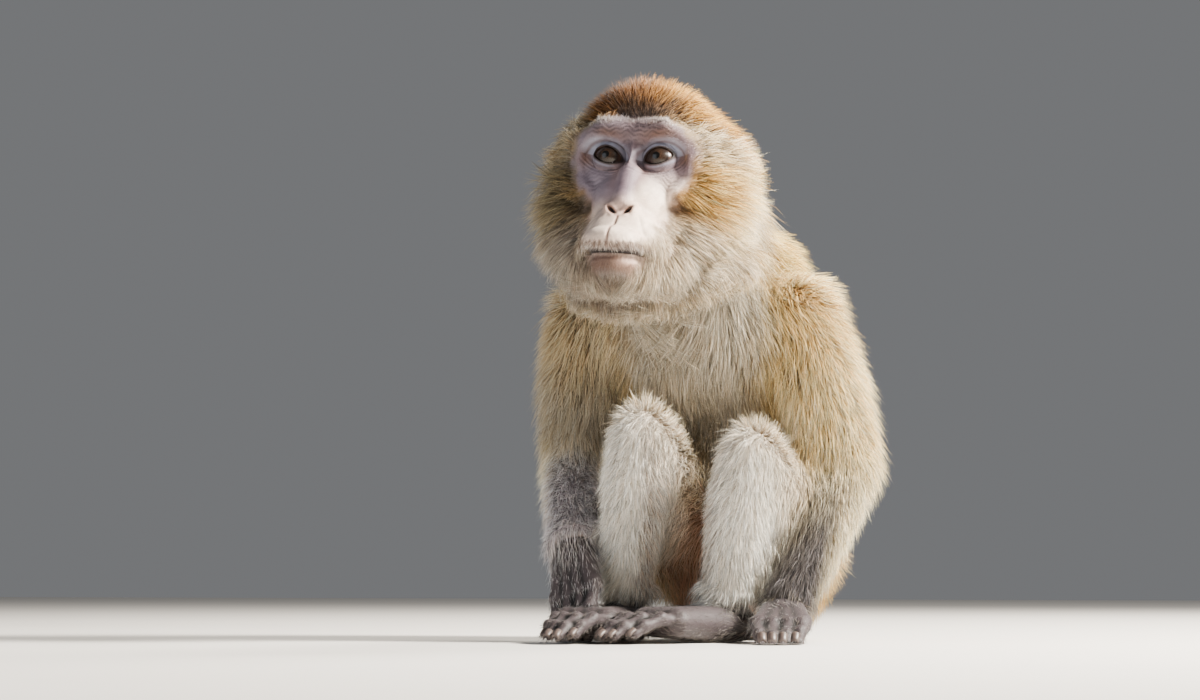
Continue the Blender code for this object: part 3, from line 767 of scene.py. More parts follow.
class Markings:
    """What the skin and the coat look like at every point of the skin."""

    def __init__(self, surface):
        self.surface = surface
        points = surface.points
        self.normals = surface.normals()
        self.local = to_head(points)
        places, _, distance = nearest(outline_tree, points)
        self.depth = np.maximum(distance * 1000.0 - SWELL * 1000.0, 0.0)
        _, faces, _ = nearest(finder, places)
        self.label = owners[faces]
        group = np.array([GROUPS.index(group_of(name)) for name in FLESH])[self.label]
        hot = np.zeros((len(points), len(GROUPS)))
        hot[np.arange(len(points)), group] = 1.0
        self.share = surface.spread(hot, 9)
        columns = list(zip(*(COAT[g] for g in GROUPS)))
        self.length, self.width, self.density = (self.share @ np.array(column) for column in columns[:3])
        shades = (np.array([colour(*tone) for tone in column]) for column in columns[3:])
        self.root, self.middle, self.tip = (self.share @ shade for shade in shades)
        self.bare = bare_distance(self.local)
        self.dark = np.full(len(points), 0.13)
        self.lift = np.ones(len(points))
        self.lay = self.lie()
        self.paint_body()
        self.paint_head()
        self.skin = self.paint_skin()
        self.paint_down()
        for shade in (self.root, self.middle, self.tip, self.skin):
            np.clip(shade, 0.004, 0.92, out=shade)

    def on(self, *groups, side=""):
        """Which points belong to these groups, on one side if it is given."""
        return np.array([group_of(name) in groups and name.endswith(side) for name in FLESH])[self.label]

    def of(self, *groups, side=""):
        """How much each point belongs to these groups, blended where they meet."""
        return sum(self.share[:, GROUPS.index(g)] for g in groups) * self.on(*GROUPS, side=side)

    def dye_and_paint_light(self, share, root=None, middle=None, tip=None, light=None, gain=1.0):
        """Blends colours into the coat's root, middle and tip: each is (strength, colour), or (strength,
        colour away from the light, colour toward it), a darker and a lighter copy of one colour that paint
        shade and light into the coat."""
        for part, dye_and_paint_light in (("root", root), ("middle", middle), ("tip", tip)):
            if dye_and_paint_light:
                tones = [colour(*tone) for tone in dye_and_paint_light[1:]]
                tone = blend(*tones, light) if len(tones) == 2 else tones[0]
                setattr(self, part, blend(getattr(self, part), tone * gain, dye_and_paint_light[0] * share))

    def lie(self):
        """The way the coat lies: a direction along the skin at each point."""
        points = self.surface.points
        lay = np.zeros_like(points)
        for index, name in enumerate(FLESH):
            own = self.label == index
            group, side = group_of(name), name.rsplit("_", 1)[-1]
            if group in BONES:
                start, end = BONES[group]
                weight, lean = LIE[group]
                lay[own] = np.array(end[side] - start[side]) / weight + lean
            elif group in ("hand", "foot"):
                lay[own] = np.array(paws[name].axes[1])
            elif group == "tail":
                lay[own] = tail_way(points[own])
            elif group in ("chest", "neck"):
                away = points[own] - (-0.006, -0.050, 0.290)
                away[:, 2] = -0.06
                lay[own] = unit(away) + (0.0, 0.0, -0.75)
            else:
                lay[own] = (0.0, 0.12, -1.0)
        x, y, z = self.local.T
        reach = np.hypot(x, z + 24.0) + 1e-6
        high = ramp(2.0, 26.0, z - 14.0 * ramp(24.0, 44.0, np.abs(x)))
        out = unit(ways(x / reach, 0.25 + 0.45 * ramp(20.0, 60.0, y), (z + 24.0) / reach * 0.7 - 0.22))
        crown = unit(ways(x / 60.0, 1.0, 0.10 + 0.3 * ramp(30.0, 0.0, y)))
        throat = unit(ways(x / 45.0, 0.05, -1.0))
        head = blend(blend(out, crown, high), throat, ramp(-34.0, -62.0, z))
        reach = np.hypot(x, z + 40.0) + 1e-6
        face = unit(ways(x / reach, 0.35, (z + 40.0) / reach))
        head = blend(head, face, ramp(-4.0, 4.0, self.bare))
        own = self.on("head")
        lay[own] = unit(head)[own] @ HEAD_TURN.T
        lay = self.surface.spread(unit(lay), 30)
        lay = unit(lay) + 0.20 * ways(*(drift(points, 0.030, seed) for seed in (3, 4, 5)))
        lay -= self.normals * (lay * self.normals).sum(axis=1, keepdims=True)
        return unit(lay)

    def paint_body(self):
        """Pale front, golden back and shoulders, pale shanks, dark hands and feet, with painted shade on the
        front under the head and on the right upper arm, and painted light on the right forearm and hand.
        """
        points = self.surface.points
        height = points[:, 2]
        nx, ny, _ = self.normals.T
        way = unit(points[:, :2] - (-0.004, -0.020))[:, 1]
        front = blend(ramp(0.2, -0.5, ny), ramp(-0.55, -0.88, way), ramp(0.13, 0.17, height))
        front = front * self.of("neck", "chest", "belly")
        # The front's pale fur, painted a little darker than its own colour as painted shade under the head.
        self.dye_and_paint_light(front, (0.9, (108, 96, 86)), (1, (170, 155, 130)), (1, (222, 210, 187)))
        self.length += 5 * front
        back = self.of("chest", "belly") * ramp(-0.1, 0.6, ny)
        self.dye_and_paint_light(back, middle=(0.7, (182, 138, 58)))
        low = self.of("belly", "pelvis", "thigh") * ramp(0, -0.6, ny)
        low = low * ramp(0.115, 0.075, height) * ramp(0.05, 0.02, np.abs(points[:, 0] + 0.005))
        self.dye_and_paint_light(low, (1, (176, 126, 98)), (0.9, (218, 164, 134)), (0.9, (240, 202, 174)))
        rump = self.of("pelvis", "thigh") * ramp(0.09, 0.05, height) * ramp(-0.4, 0.3, ny)
        self.dye_and_paint_light(rump, None, (0.7, (184, 140, 76)), (0.7, (222, 184, 118)))
        for side in SIDES:
            outward = OUTWARD[side] * nx
            upper_arm = self.of("upper_arm", side=side)
            ahead = ramp(0.5, -0.6, ny + 0.5 * outward)
            down = down_limb(points, "forearm", side)
            wrist = self.of("forearm", side=side) * ramp(0.50 - 0.55 * ahead, 0.95 - 0.45 * ahead, down)
            if side == "right":
                # Painted shade: the front of the right upper arm is painted dark and grey, as if in the
                # body's shadow.
                shaded = 0.85 * upper_arm * ramp(0.4, -0.3, ny)
                self.dye_and_paint_light(shaded, (1, (62, 57, 52)), (1, (108, 101, 90)), (1, (180, 172, 158)))
            # The wrist's dark fur is darkened on the left. On the right it is painted several times lighter
            # as painted fill light, and the gold high on the right arm is weaker as painted shade.
            wrist_fur_and_painted_fill, gold_and_painted_shade = (0.34, 0.6) if side == "left" else (2.1, 0.35)
            self.dye_and_paint_light(wrist, (1, (94, 87, 90)), (1, (150, 140, 142)), (1, (218, 210, 206)), gain=wrist_fur_and_painted_fill)
            high = upper_arm * ramp(0.50, 0.05, down_limb(points, "upper_arm", side))
            self.dye_and_paint_light(high, (gold_and_painted_shade, (98, 70, 34)), (gold_and_painted_shade, (186, 134, 54)), (gold_and_painted_shade, (243, 212, 132)))
            inner = self.of("upper_arm", "thigh", side=side) * ramp(0, -0.7, outward)
            self.dye_and_paint_light(inner, middle=(0.6, (188, 170, 150)))
            shank = self.of("shank", side=side)
            knee = shank * ramp(0.25, 0, down_limb(points, "shank", side))
            self.dye_and_paint_light(knee, middle=(0.5, (222, 216, 210)))
            inside = shank * ramp(-0.35, -0.9, outward)
            self.dye_and_paint_light(inside, (0.8, (76, 58, 48)), (0.7, (180, 146, 116)))
            self.dye_and_paint_light(shank * ramp(0.2, 0.8, ny), middle=(0.7, (196, 162, 118)))
            self.dark += 0.06 * wrist + 0.10 * inside
            cap = self.of("thigh", side=side) * ramp(0.55, 0.90, down_limb(points, "thigh", side))
            cap = cap * ramp(0.5, -0.3, ny)
            self.lift *= 1 - 0.45 * cap
            self.length *= 1 - 0.40 * cap
            self.dye_and_paint_light(cap, (1, (196, 184, 168)), (1, (238, 230, 214)), (1, (249, 245, 236)))
            hand, foot = self.of("hand", side=side), self.of("foot", side=side)
            # Painted light: the right hand's coat is painted much lighter, standing in for fill light on it.
            if side == "right":
                for shade in (self.root, self.middle, self.tip):
                    shade *= 1 + 2.2 * hand[:, None]
            palm = along(points, WRIST[side], paws[f"hand_{side}"].knuckles)
            self.length += hand * 9 * ramp(0.75, 0, palm)
            arch = along(points, ANKLE[side], paws[f"foot_{side}"].knuckles)
            self.length += foot * 8 * ramp(0.60, 0.05, arch)
            self.dye_and_paint_light(0.6 * foot * ramp(0.5, 0.1, arch), tip=(1, (214, 204, 190)))

    def paint_head(self):
        """Golden crown, dark brow band, cheek spots, pale ruff, and the coat's length round the face. The
        crown, cheeks, temples, jaw, fringe and cheek spots are painted lighter and warmer on the head's left
        as painted light and darker and greyer on its right as painted shade, and the ruff behind the left
        cheek is painted paler still as painted light.
        """
        x, y, z = self.local.T
        wide = np.abs(x)
        head = self.of("head")
        # Painted light and shade: lit runs from the head's right side to its left, the side toward the key
        # lamp.
        lit = ramp(-10, 25, x)
        crown = head * ramp(6, 30, z + 0.10 * y)
        # Painted light and shade: the golden crown is painted darker toward the head's right and lighter and
        # warmer toward its left.
        self.dye_and_paint_light(
            crown,
            (1, (38, 23, 9), (62, 38, 12)),
            (1, (86, 48, 8), (118, 74, 12)),
            (1, (164, 104, 28), (200, 144, 48)),
            light=ramp(0, 26, x + 0.3 * y),
        )
        self.dark += 0.20 * crown
        self.dye_and_paint_light(head * ramp(60, 85, y), middle=(0.6, (188, 150, 96)))
        cheek = head * ramp(14, -6, z) * ramp(24, 42, wide)
        # Painted light and shade: the cheek fur has a dark olive copy for the head's right and a golden one
        # for its left.
        self.dye_and_paint_light(
            cheek,
            (1, (58, 50, 36), (92, 66, 28)),
            (1, (104, 90, 62), (178, 128, 48)),
            (1, (178, 160, 120), (242, 210, 134)),
            light=lit,
        )
        temple = head * ramp(2, 12, z) * ramp(24, 36, wide)
        # Painted light and shade: the temple fur is painted dull on the head's right and golden on its left.
        self.dye_and_paint_light(
            temple,
            None,
            (0.85, (84, 70, 40), (132, 86, 14)),
            (0.85, (160, 140, 90), (210, 154, 60)),
            light=lit,
        )
        # Painted light: the ruff behind the left cheek is painted near-white, as if sunlit.
        painted_light_ruff = head * lit * ramp(18, 36, y) * ramp(-2, -12, z) * ramp(-50, -34, z)
        self.dye_and_paint_light(painted_light_ruff, (0.8, (176, 158, 128)), (0.85, (238, 222, 190)), (0.85, (251, 246, 234)))
        # Painted shade: more dark tufts in the cheek fur on the head's right.
        self.dark += 0.10 * cheek * (1 - lit)
        # Painted light and shade: the jaw and throat fur is painted greyer and darker on the head's right
        # and paler on its left.
        self.dye_and_paint_light(
            head * ramp(-26, -46, z) * ramp(58, 36, y),
            (0.8, (74, 67, 63), (116, 102, 90)),
            (0.85, (118, 108, 100), (200, 184, 158)),
            (0.85, (180, 172, 162), (236, 225, 205)),
            light=lit,
        )
        fringe = head * ramp(14, 30, wide) * ramp(-10, 6, z) * (y < 48)
        # Painted light: the pale fringe is painted wider on the head's left, toward the light.
        fringe = fringe * ramp(-14, -4, self.bare + 4 * lit) * ramp(8, -2, self.bare)
        self.dye_and_paint_light(fringe, None, (0.7, (206, 184, 142)), (0.8, (244, 234, 208)))
        band = head * bell(z - 28 - 0.002 * x * x, 6.5) * ramp(25, 12, np.abs(x - 5)) * (y < 36)
        band = np.clip(1.25 * band, 0, 1)
        self.dye_and_paint_light(band, (1, (34, 26, 22)), (0.95, (56, 38, 26)), (0.85, (96, 64, 36)))
        self.dark *= 1 - 0.8 * (head * ramp(-4, 2, self.bare) * (1 - band))
        spot = np.clip(1.6 * (head * bell(wide - 29, 6.2) * bell(z + 31, 5.8) * (y < 42)), 0, 1)
        # The cheek spot's brown, a greyer copy for the head's right and a warmer one for its left, as
        # painted shade and light.
        brown = ((56, 47, 38), (72, 43, 18))
        self.dye_and_paint_light(spot, root=(0.9, *brown), light=lit, gain=0.6)
        self.dye_and_paint_light(spot, middle=(0.92, *brown), light=lit)
        self.dye_and_paint_light(spot, tip=(0.85, *brown), light=lit, gain=1.2)
        side = ramp(30, 46, wide)
        full = 17 + 24 * ramp(20, -4, z) * side + 9 * side * ramp(40, 15, z)
        full = blend(full, 34, ramp(-50, -66, z))
        brisk = np.maximum(ramp(28, 38, wide), ramp(-62, -72, z))
        near_edge = ramp(2, -17 + 9 * brisk, self.bare)
        short = 3.2 + 3.2 * head * bell(z - 25, 5) + 3 * ramp(-72, -78, z)
        self.length = blend(self.length, blend(short, full, near_edge), head)
        self.width = blend(self.width, 0.26 + 0.28 * near_edge, head)
        rising = ramp(-1, -22 + 14 * brisk, self.bare)
        self.lift = blend(self.lift, 0.25 + 0.30 * brisk + (0.75 - 0.30 * brisk) * rising, head)

    def paint_down(self):
        """The fine hair of the bare face takes the face's painted colours, painted shade included, frosted
        along the brow and chin.
        """
        x, y, z = self.local.T
        fine = self.of("head") * ramp(-4, 2, self.bare)
        frost = bell(z - 22.5 + 0.004 * x * x, 3.6) * (0.30 + 0.45 * ramp(10, 24, np.abs(x)))
        frost = np.clip(frost + 0.8 * ramp(-76, -83, z), 0, 1)
        self.root = blend(self.root, self.skin, fine)
        self.middle = blend(self.middle, blend(self.skin * 1.08, colour(142, 136, 138), 0.8 * frost), fine)
        self.tip = blend(self.tip, blend(self.skin * 1.2 + 0.02, colour(214, 209, 206), 0.9 * frost), fine)

    def paint_skin(self):
        """Colours of the bare face, hands and feet, and of the skin under the coat. The brow, the bridge,
        the face's right side, the crease above each lid, the upper lip's margin, the nostrils and the skin's
        grooves carry painted shade, and the ridges of the hands and feet carry painted light.
        """
        points = self.surface.points
        x, y, z = self.local.T
        wide = np.abs(x)
        paw = np.clip(self.of("hand", "foot") * 1.2, 0, 1)
        # The skin under the coat takes the coat's dark roots, painted shade included.
        under = blend(self.root, self.middle, 0.35)
        skin = painted(under, (paw, (46, 38, 40)), (self.of("ear"), (104, 78, 68)))
        edge, _, _, flat, rise, out = lid_shape(self.local)
        eye = (y < 24) * ramp(24**2, 18**2, flat)
        above, below = eye * (rise > 0), eye * (rise <= 0)
        low = z - NOSE
        gap = lip_gap(x, z)
        lip = ramp(30, 23, wide) * (y < 20)
        margin = lip * ramp(-0.5, 0.6, gap) * ramp(5.4, 2.6, gap + 0.8 * np.sin(x * 1.7))
        slope = wide - 5.4 - 0.80 * low
        hole = np.exp(-((slope / 1.5) ** 2) - (low / 2.3) ** 2) * (y < -4)
        halo = np.exp(-(((wide - 5.6 - 0.80 * low) / 3) ** 2) - (low / 3.8) ** 2) * (y < -4)
        rosy = blend(colour(84, 54, 43), colour(164, 130, 113), ramp(-2, 14, x))
        chin = ramp(MOUTH - 1, MOUTH - 5, z) * ramp(23, 14, wide) * (y < 24)
        # The upper face is mauve-grey and the muzzle pale. The upper face is painted darker than its own
        # colour as painted shade, and fall carries the dark further down the middle and right of the face as
        # painted shade.
        fall = 20 * ramp(12, 2, x)
        face = blend(colour(114, 97, 106), colour(228, 206, 188), ramp(-4, -32, z + fall))
        face = painted(
            face,
            # The brow, darker partly in its own colour and partly as painted shade under the crown.
            (0.8 * ramp(0, 14, z), (94, 76, 78)),
            # Painted shade: the right side of the face below the eyes is painted bluish grey.
            (0.6 * (ramp(6, -26, x) * ramp(-40, -24, z)), (118, 109, 121)),
            (0.85 * (above * ramp(2.2, 1.5, edge)), (150, 154, 172)),
            (0.85 * (below * ramp(2.3, 1.5, edge)), (84, 72, 80)),
            (0.55 * (below * bell(edge - 1.28, 0.10)), (120, 124, 142)),
            # Painted shade: the crease above the fold over each eye is painted dark.
            (0.75 * (above * bell(edge - 1.62, 0.10)), (92, 74, 76)),
            (0.6 * (below * bell(edge - 1.85, 0.08)), (122, 98, 98)),
            (0.75 * (bell(out - 1, 12) * bell(z - 14 - 0.10 * out, 3.4) * (y < 30)), (84, 52, 36)),
            (0.72 * (bell(out - 16, 5) * bell(z + 1, 6) * (y < 30)), (86, 54, 38)),
            (0.7 * (bell(wide - 29, 5) * bell(z + 32, 5.5)), (130, 94, 66)),
            # Painted shade: the bridge between the eyes is painted darker.
            (0.65 * bell(x, 6) * bell(z - 2, 12), (88, 73, 80)),
            # Painted shade: the right side of the muzzle is painted greyer.
            (0.6 * ramp(2, -14, x) * ramp(-30, -44, z), (166, 146, 138)),
            (0.55 * (bell(wide - 9, 3.6) * bell(z + 10, 13)), (138, 108, 104)),
            (0.6 * (bell(wide - 2, 9) * bell(low, 6) * (y < -5)), (190, 154, 136)),
            (0.75 * (bell(x, 0.9) * ramp(-2.5, -5.5, low) * (y < -12) * (z > MOUTH)), (116, 70, 58)),
            # Painted shade: the upper lip's margin, under the lip's hairs, is painted dark.
            (0.90 * margin, (70, 50, 46)),
            (0.75 * lip * bell(gap + 3, 2.6), (104, 76, 66)),
            (np.clip(1.3 * lip * bell(gap + 0.2, 1.25), 0, 1), (40, 27, 27)),
        )
        face = painted(
            blend(face, rosy, 0.9 * chin),
            (0.6 * halo, (138, 84, 66)),
            # Painted shade: the nostrils are painted near-black for the shade inside them.
            (np.clip(1.5 * hole, 0, 1), (34, 22, 22)),
            (eye * np.clip(1.4 * bell(edge - 1.01, 0.11), 0, 1), (34, 25, 24)),
            (eye * ramp(1, 0.92, edge), (70, 40, 38)),
        )
        # Painted shade in the grooves of the face, hands and feet, and painted light on the ridges of the
        # hands and feet.
        hollow = ((self.surface.spread(points, 4) - points) * self.normals).sum(axis=1) * 1000
        hollow = np.clip(hollow / 0.16, -0.6, 1)[:, None]
        face = face * (1 - 0.45 * np.maximum(hollow, 0))
        skin = blend(skin, skin * (1 - 0.8 * hollow), paw)
        mottle = 0.5 * drift(points, 0.004, 21) + 0.5 * drift(points, 0.011, 22)
        face = face * (1 + mottle[:, None] * (0.10, 0.12, 0.12))
        bare = self.of("head") * ramp(-5, 3, self.bare + 2 * drift(points, 0.008, 23))
        return blend(skin, face, bare)


# --- tufts

ROOT_DEPTH = 0.0006  # how far a tuft starts under the skin, and the least height of its points
TUFT_FLOOR = 0.0006
CLOSE, STRAY = 0.0030, 0.0075  # how far most tufts and the few strays may stand out of the outline
STRAYS = 0.12  # shares of all tufts
PALE = 0.20
# From tuft to tuft: the range of lengths and widths, and the spread of the rest, angles in radians.
LENGTHS = (0.62, 1.25)
WIDTHS = (0.75, 1.25)
TURN = 0.22
RISE = 0.13
SHADE = 0.20
WARMTH = 0.035
RISES = (0.10, 0.86)  # sines of the flattest and the steepest mean rise
BOW = 0.38  # how much more steeply a tuft of several bones starts, in radians
DARK_MIDDLE = 0.62
DARK_TIP = 0.42
SHORTEST = 0.45
GIVE = 0.022  # how far beyond what is allowed a tuft is drawn back to the shortest
TUFTS_IN_LOCK = 16
LOCK = (0.004, 0.012)  # a lock's tufts are rooted this near its leader: all of them, and none
PATCH = (0.0011, 0.0028)  # half the width and the length of a tuft's patch in the unwrap
DROOP = np.array((0.0, 0.0, -0.22))


def unwrap(obj):
    """An unwrap of the skin's own shape, which the coat's patches sit on too."""
    obj.data.uv_layers.new(name="OFBake")
    bpy.context.view_layer.objects.active = obj
    for other in bpy.context.scene.objects:
        other.select_set(other == obj)
    bpy.ops.object.mode_set(mode="EDIT")
    bpy.ops.mesh.select_all(action="SELECT")
    bpy.ops.uv.smart_project(angle_limit=math.radians(66), island_margin=0.002)
    bpy.ops.object.mode_set(mode="OBJECT")
    return read(obj.data.uv_layers["OFBake"].data, "uv", 2)


class Coat:
    """Grows tufts over the skin, piece by piece."""

    def __init__(self, marks, places):
        self.marks = marks
        self.surface = marks.surface
        self.places = places
        self.area = np.linalg.norm(self.surface.crosses(), axis=1) / 2.0

    def grow(self, name, where, count, bones, seed, clump, slim=1.0, reach=1.0, lift=1.0, density=None):
        """A piece of the coat: tufts rooted where the weight is above zero."""
        marks = self.marks
        random = np.random.default_rng(seed)
        density = marks.density if density is None else density
        triangles = self.surface.triangles
        weight = self.area * (where * density)[triangles].mean(axis=1)
        weight = np.where((where[triangles] > 0).sum(axis=1) >= 2, weight, 0.0)
        total = np.cumsum(weight)
        faces = np.searchsorted(total, (np.arange(count) + random.random(count)) / count * total[-1])
        faces = np.minimum(faces, len(weight) - 1)
        mix = random.dirichlet((1.0, 1.0, 1.0), count)

        def at_root(values, corners=triangles[faces]):
            return (values[corners] * (mix if values.ndim == 1 else mix[:, :, None])).sum(axis=1)

        root = at_root(self.surface.points)
        normal = unit(at_root(marks.normals))
        lay = at_root(marks.lay)
        lay = unit(lay - normal * (lay * normal).sum(axis=1, keepdims=True))
        lay = unit(lay + np.cross(normal, lay) * random.normal(0.0, TURN, count)[:, None])
        length = at_root(marks.length) * reach * random.uniform(*LENGTHS, count)
        rise = np.clip(at_root(marks.depth) * lift * at_root(marks.lift) / length, *RISES)
        rise = np.arcsin(rise) + random.normal(0.0, RISE, count)
        bow = BOW if bones > 1 else 0.0
        tracks = np.empty((count, bones + 1, 3))
        tracks[:, 0] = root - normal * ROOT_DEPTH
        for bone in range(bones):
            t = (bone + 0.5) / bones
            angle = ((rise + bow) * (1 - t) + (rise - 0.8 * bow) * t)[:, None]
            way = unit(lay * np.cos(angle) + normal * np.sin(angle) + DROOP * t)
            tracks[:, bone + 1] = tracks[:, bone] + way * (length / bones / 1000.0)[:, None]
        tracks = self.gather(tracks, clump, random)
        tracks = self.inside(tracks, np.where(random.random(count) < STRAYS, STRAY, CLOSE))
        width = at_root(marks.width) * slim * random.uniform(*WIDTHS, count) / 1000.0
        shade = np.exp(random.normal(-0.02, SHADE, count))[:, None]
        warm = random.normal(0.0, WARMTH, count)[:, None] * np.array((1.0, 0.0, -1.0))
        tones = (marks.root, marks.middle, marks.tip)
        base, middle, tip = (at_root(tone) * shade * (1.0 + warm) for tone in tones)
        kind = random.random(count)
        dark = kind < at_root(marks.dark)
        pale = kind > 1.0 - PALE
        middle[dark] *= DARK_MIDDLE
        tip[dark] *= DARK_TIP
        tip[pale] = blend(tip[pale], np.minimum(tip[pale] * 1.6 + 0.10, 0.88), 0.7)
        shades = np.empty((count, bones + 1, 3))
        for station in range(bones + 1):
            t = station / bones
            tone = blend(base, middle, min(1.0, t * 2.2))
            shades[:, station] = blend(tone, tip, max(0.0, (t - 0.45) / 0.55) ** 1.2)
        patch = at_root(self.places, self.surface.corners[faces])
        return self.tufts(name, tracks, width, shades, patch, random)

    def gather(self, tracks, clump, random):
        """Draws the tips of neighbouring tufts together into locks."""
        count, stations = tracks.shape[:2]
        leaders = random.choice(count, max(1, count // TUFTS_IN_LOCK), replace=False)
        tree = KDTree(len(leaders))
        for i, leader in enumerate(leaders):
            tree.insert(tracks[leader, 0], i)
        tree.balance()
        own = leaders[np.array([tree.find(point)[1] for point in tracks[:, 0]])]
        near = np.linalg.norm(tracks[own, 0] - tracks[:, 0], axis=1)
        pull = clump * ramp(LOCK[1], LOCK[0], near) * random.uniform(0.5, 1.3, count)
        for station in range(1, stations):
            share = np.clip(pull * (station / (stations - 1)) ** 1.3, 0.0, 0.92)[:, None]
            tracks[:, station] += (tracks[own, station] - tracks[:, station]) * share
        return tracks

    def inside(self, tracks, allowed):
        """Draws back any tuft that would stand out of the coat's outline or go below the seat."""
        reach = np.ones(len(tracks))
        for i, tip in enumerate(tracks[:, -1]):
            place, normal, _, distance = outline_tree.find_nearest(tip)
            if distance > allowed[i] and (Vector(tip) - place).dot(normal) > 0.0:
                reach[i] = max(SHORTEST, 1.0 - (distance - allowed[i]) / GIVE)
        root = tracks[:, :1]
        tracks = root + (tracks - root) * reach[:, None, None]
        tracks[:, :, 2] = np.maximum(tracks[:, :, 2], TUFT_FLOOR)
        return tracks

    def tufts(self, name, tracks, width, shades, patch, random):
        """Closed three-sided tapering tufts along the tracks, as one joined mesh."""
        count, stations = tracks.shape[:2]
        bones = stations - 1
        ahead = unit(tracks[:, 1] - tracks[:, 0])
        side = unit(np.cross(ahead, unit(random.normal(size=(count, 3)))))
        other = np.cross(ahead, side)
        each = 3 * bones + 1
        points = np.empty((count, each, 3))
        tints = np.ones((count, each, 4))
        uvs = np.empty((count, each, 2))
        for station in range(bones):
            t = station / bones
            size = width * 0.5 * (1.0 - 0.55 * t**1.5)
            for k in range(3):
                angle = 2.0 * math.pi * k / 3.0
                ring = side * math.cos(angle) + other * math.sin(angle)
                points[:, 3 * station + k] = tracks[:, station] + ring * size[:, None]
                tints[:, 3 * station + k, :3] = shades[:, station]
                uvs[:, 3 * station + k] = patch + ((k - 1) * PATCH[0], (t - 0.5) * PATCH[1])
        points[:, -1] = tracks[:, -1]
        tints[:, -1, :3] = shades[:, -1]
        uvs[:, -1] = patch + (0.0, PATCH[1] / 2)
        pattern = [(0, 2, 1)]
        for low in range(0, 3 * (bones - 1), 3):
            for k in range(3):
                n = (k + 1) % 3
                pattern += [(low + k, low + n, low + 3 + n), (low + k, low + 3 + n, low + 3 + k)]
        last = 3 * (bones - 1)
        pattern += [(last + k, last + (k + 1) % 3, each - 1) for k in range(3)]
        triangles = (np.array(pattern)[None] + (np.arange(count) * each)[:, None, None]).reshape(-1, 3)
        mesh = joined(name, points.reshape(-1, 3), triangles)
        add_tint(mesh, tints)
        layer = mesh.uv_layers.new(name="OFBake")
        layer.data.foreach_set("uv", uvs.reshape(-1, 2)[triangles.ravel()].astype(np.float32).ravel())
        mesh.shade_smooth()
        return link(name, mesh)


# --- eyes and nails

IRIS_RADIUS = 0.0068
CORNEA = 0.0009
NAIL_FLOOR = 0.0014
NAIL_THICKNESS = 0.0007


def build_eye(side):
    """An eyeball with the clear bulge over the iris shaped in."""
    centre = in_head(OUTWARD[side] * EYE_SPACING / 2, EYE_SETBACK, 0.0)
    gaze = (HEAD.to_3x3() @ Vector((-0.03, -1.0, 0.02))).normalized()
    bm = bmesh.new()
    bmesh.ops.create_uvsphere(bm, u_segments=64, v_segments=48, radius=EYE_RADIUS)
    for vertex in bm.verts:
        from_axis = math.hypot(vertex.co.x, vertex.co.y)
        if vertex.co.z > 0.0 and from_axis < IRIS_RADIUS:
            vertex.co.z += CORNEA * (1.0 - (from_axis / IRIS_RADIUS) ** 2) ** 1.5
    turn = gaze.to_track_quat("Z", "Y").to_matrix().to_4x4()
    bmesh.ops.transform(bm, matrix=Matrix.Translation(centre) @ turn, verts=bm.verts[:])
    eyeball = from_bmesh(f"eyeball_{side}", bm)
    eyeball.data.shade_smooth()
    return eyeball, centre, gaze


def build_nails(paws):
    """Narrow arched nails on the ends of all digits, in one piece."""
    bm = bmesh.new()
    for paw in paws.values():
        for number, chain in enumerate(paw.digits):
            (before, _), (tip, radius) = chain[-2:]
            ahead = (tip - before).normalized()
            above = paw.axes[2]
            above = (above - ahead * above.dot(ahead)).normalized()
            across = above.cross(ahead)
            wide, long = (0.0030, 0.0036) if number == 0 else (0.0023, 0.0042)
            grid = bmesh.ops.create_grid(bm, x_segments=6, y_segments=5, size=1.0)["verts"]
            for vertex in grid:
                u, v = vertex.co.x, vertex.co.y
                arch = math.sqrt(max(0.0, 1.0 - 0.75 * u * u))
                end = max(0.0, v) ** 2
                place = tip + ahead * (long * (0.35 + 0.75 * v) + 0.0005)
                place += across * (wide * u * (1.0 - 0.18 * end))
                place += above * ((radius + 0.0004) * (0.30 + 0.70 * arch) - 0.0010 * end - 0.0007)
                vertex.co = place
            sunk = min(vertex.co.z for vertex in grid) - NAIL_FLOOR
            for vertex in grid:
                vertex.co.z -= min(sunk, 0.0)
    bmesh.ops.solidify(bm, geom=bm.faces[:], thickness=NAIL_THICKNESS)
    bmesh.ops.recalc_face_normals(bm, faces=bm.faces[:])
    nails = from_bmesh("nails", bm)
    nails.data.shade_smooth()
    return nails


# --- materials


class Value:
    """A socket in a material's nodes, with arithmetic that adds Math nodes."""

    def __init__(self, finish, socket):
        self.finish = finish
        self.socket = socket

    def math(self, operation, *values):
        return self.finish.node("ShaderNodeMath", dict(enumerate(values)), operation=operation)

    def __add__(self, other):
        return self.math("ADD", self, other)

    def __radd__(self, other):
        return self.math("ADD", other, self)

    def __mul__(self, other):
        return self.math("MULTIPLY", self, other)

    def __rmul__(self, other):
        return self.math("MULTIPLY", other, self)

    def step(self, low, high):
        """Rises smoothly from 0 at low to 1 at high."""
        inputs = {"Value": self, "From Min": low, "From Max": high}
        return self.finish.node("ShaderNodeMapRange", inputs, "Result", interpolation_type="SMOOTHSTEP")


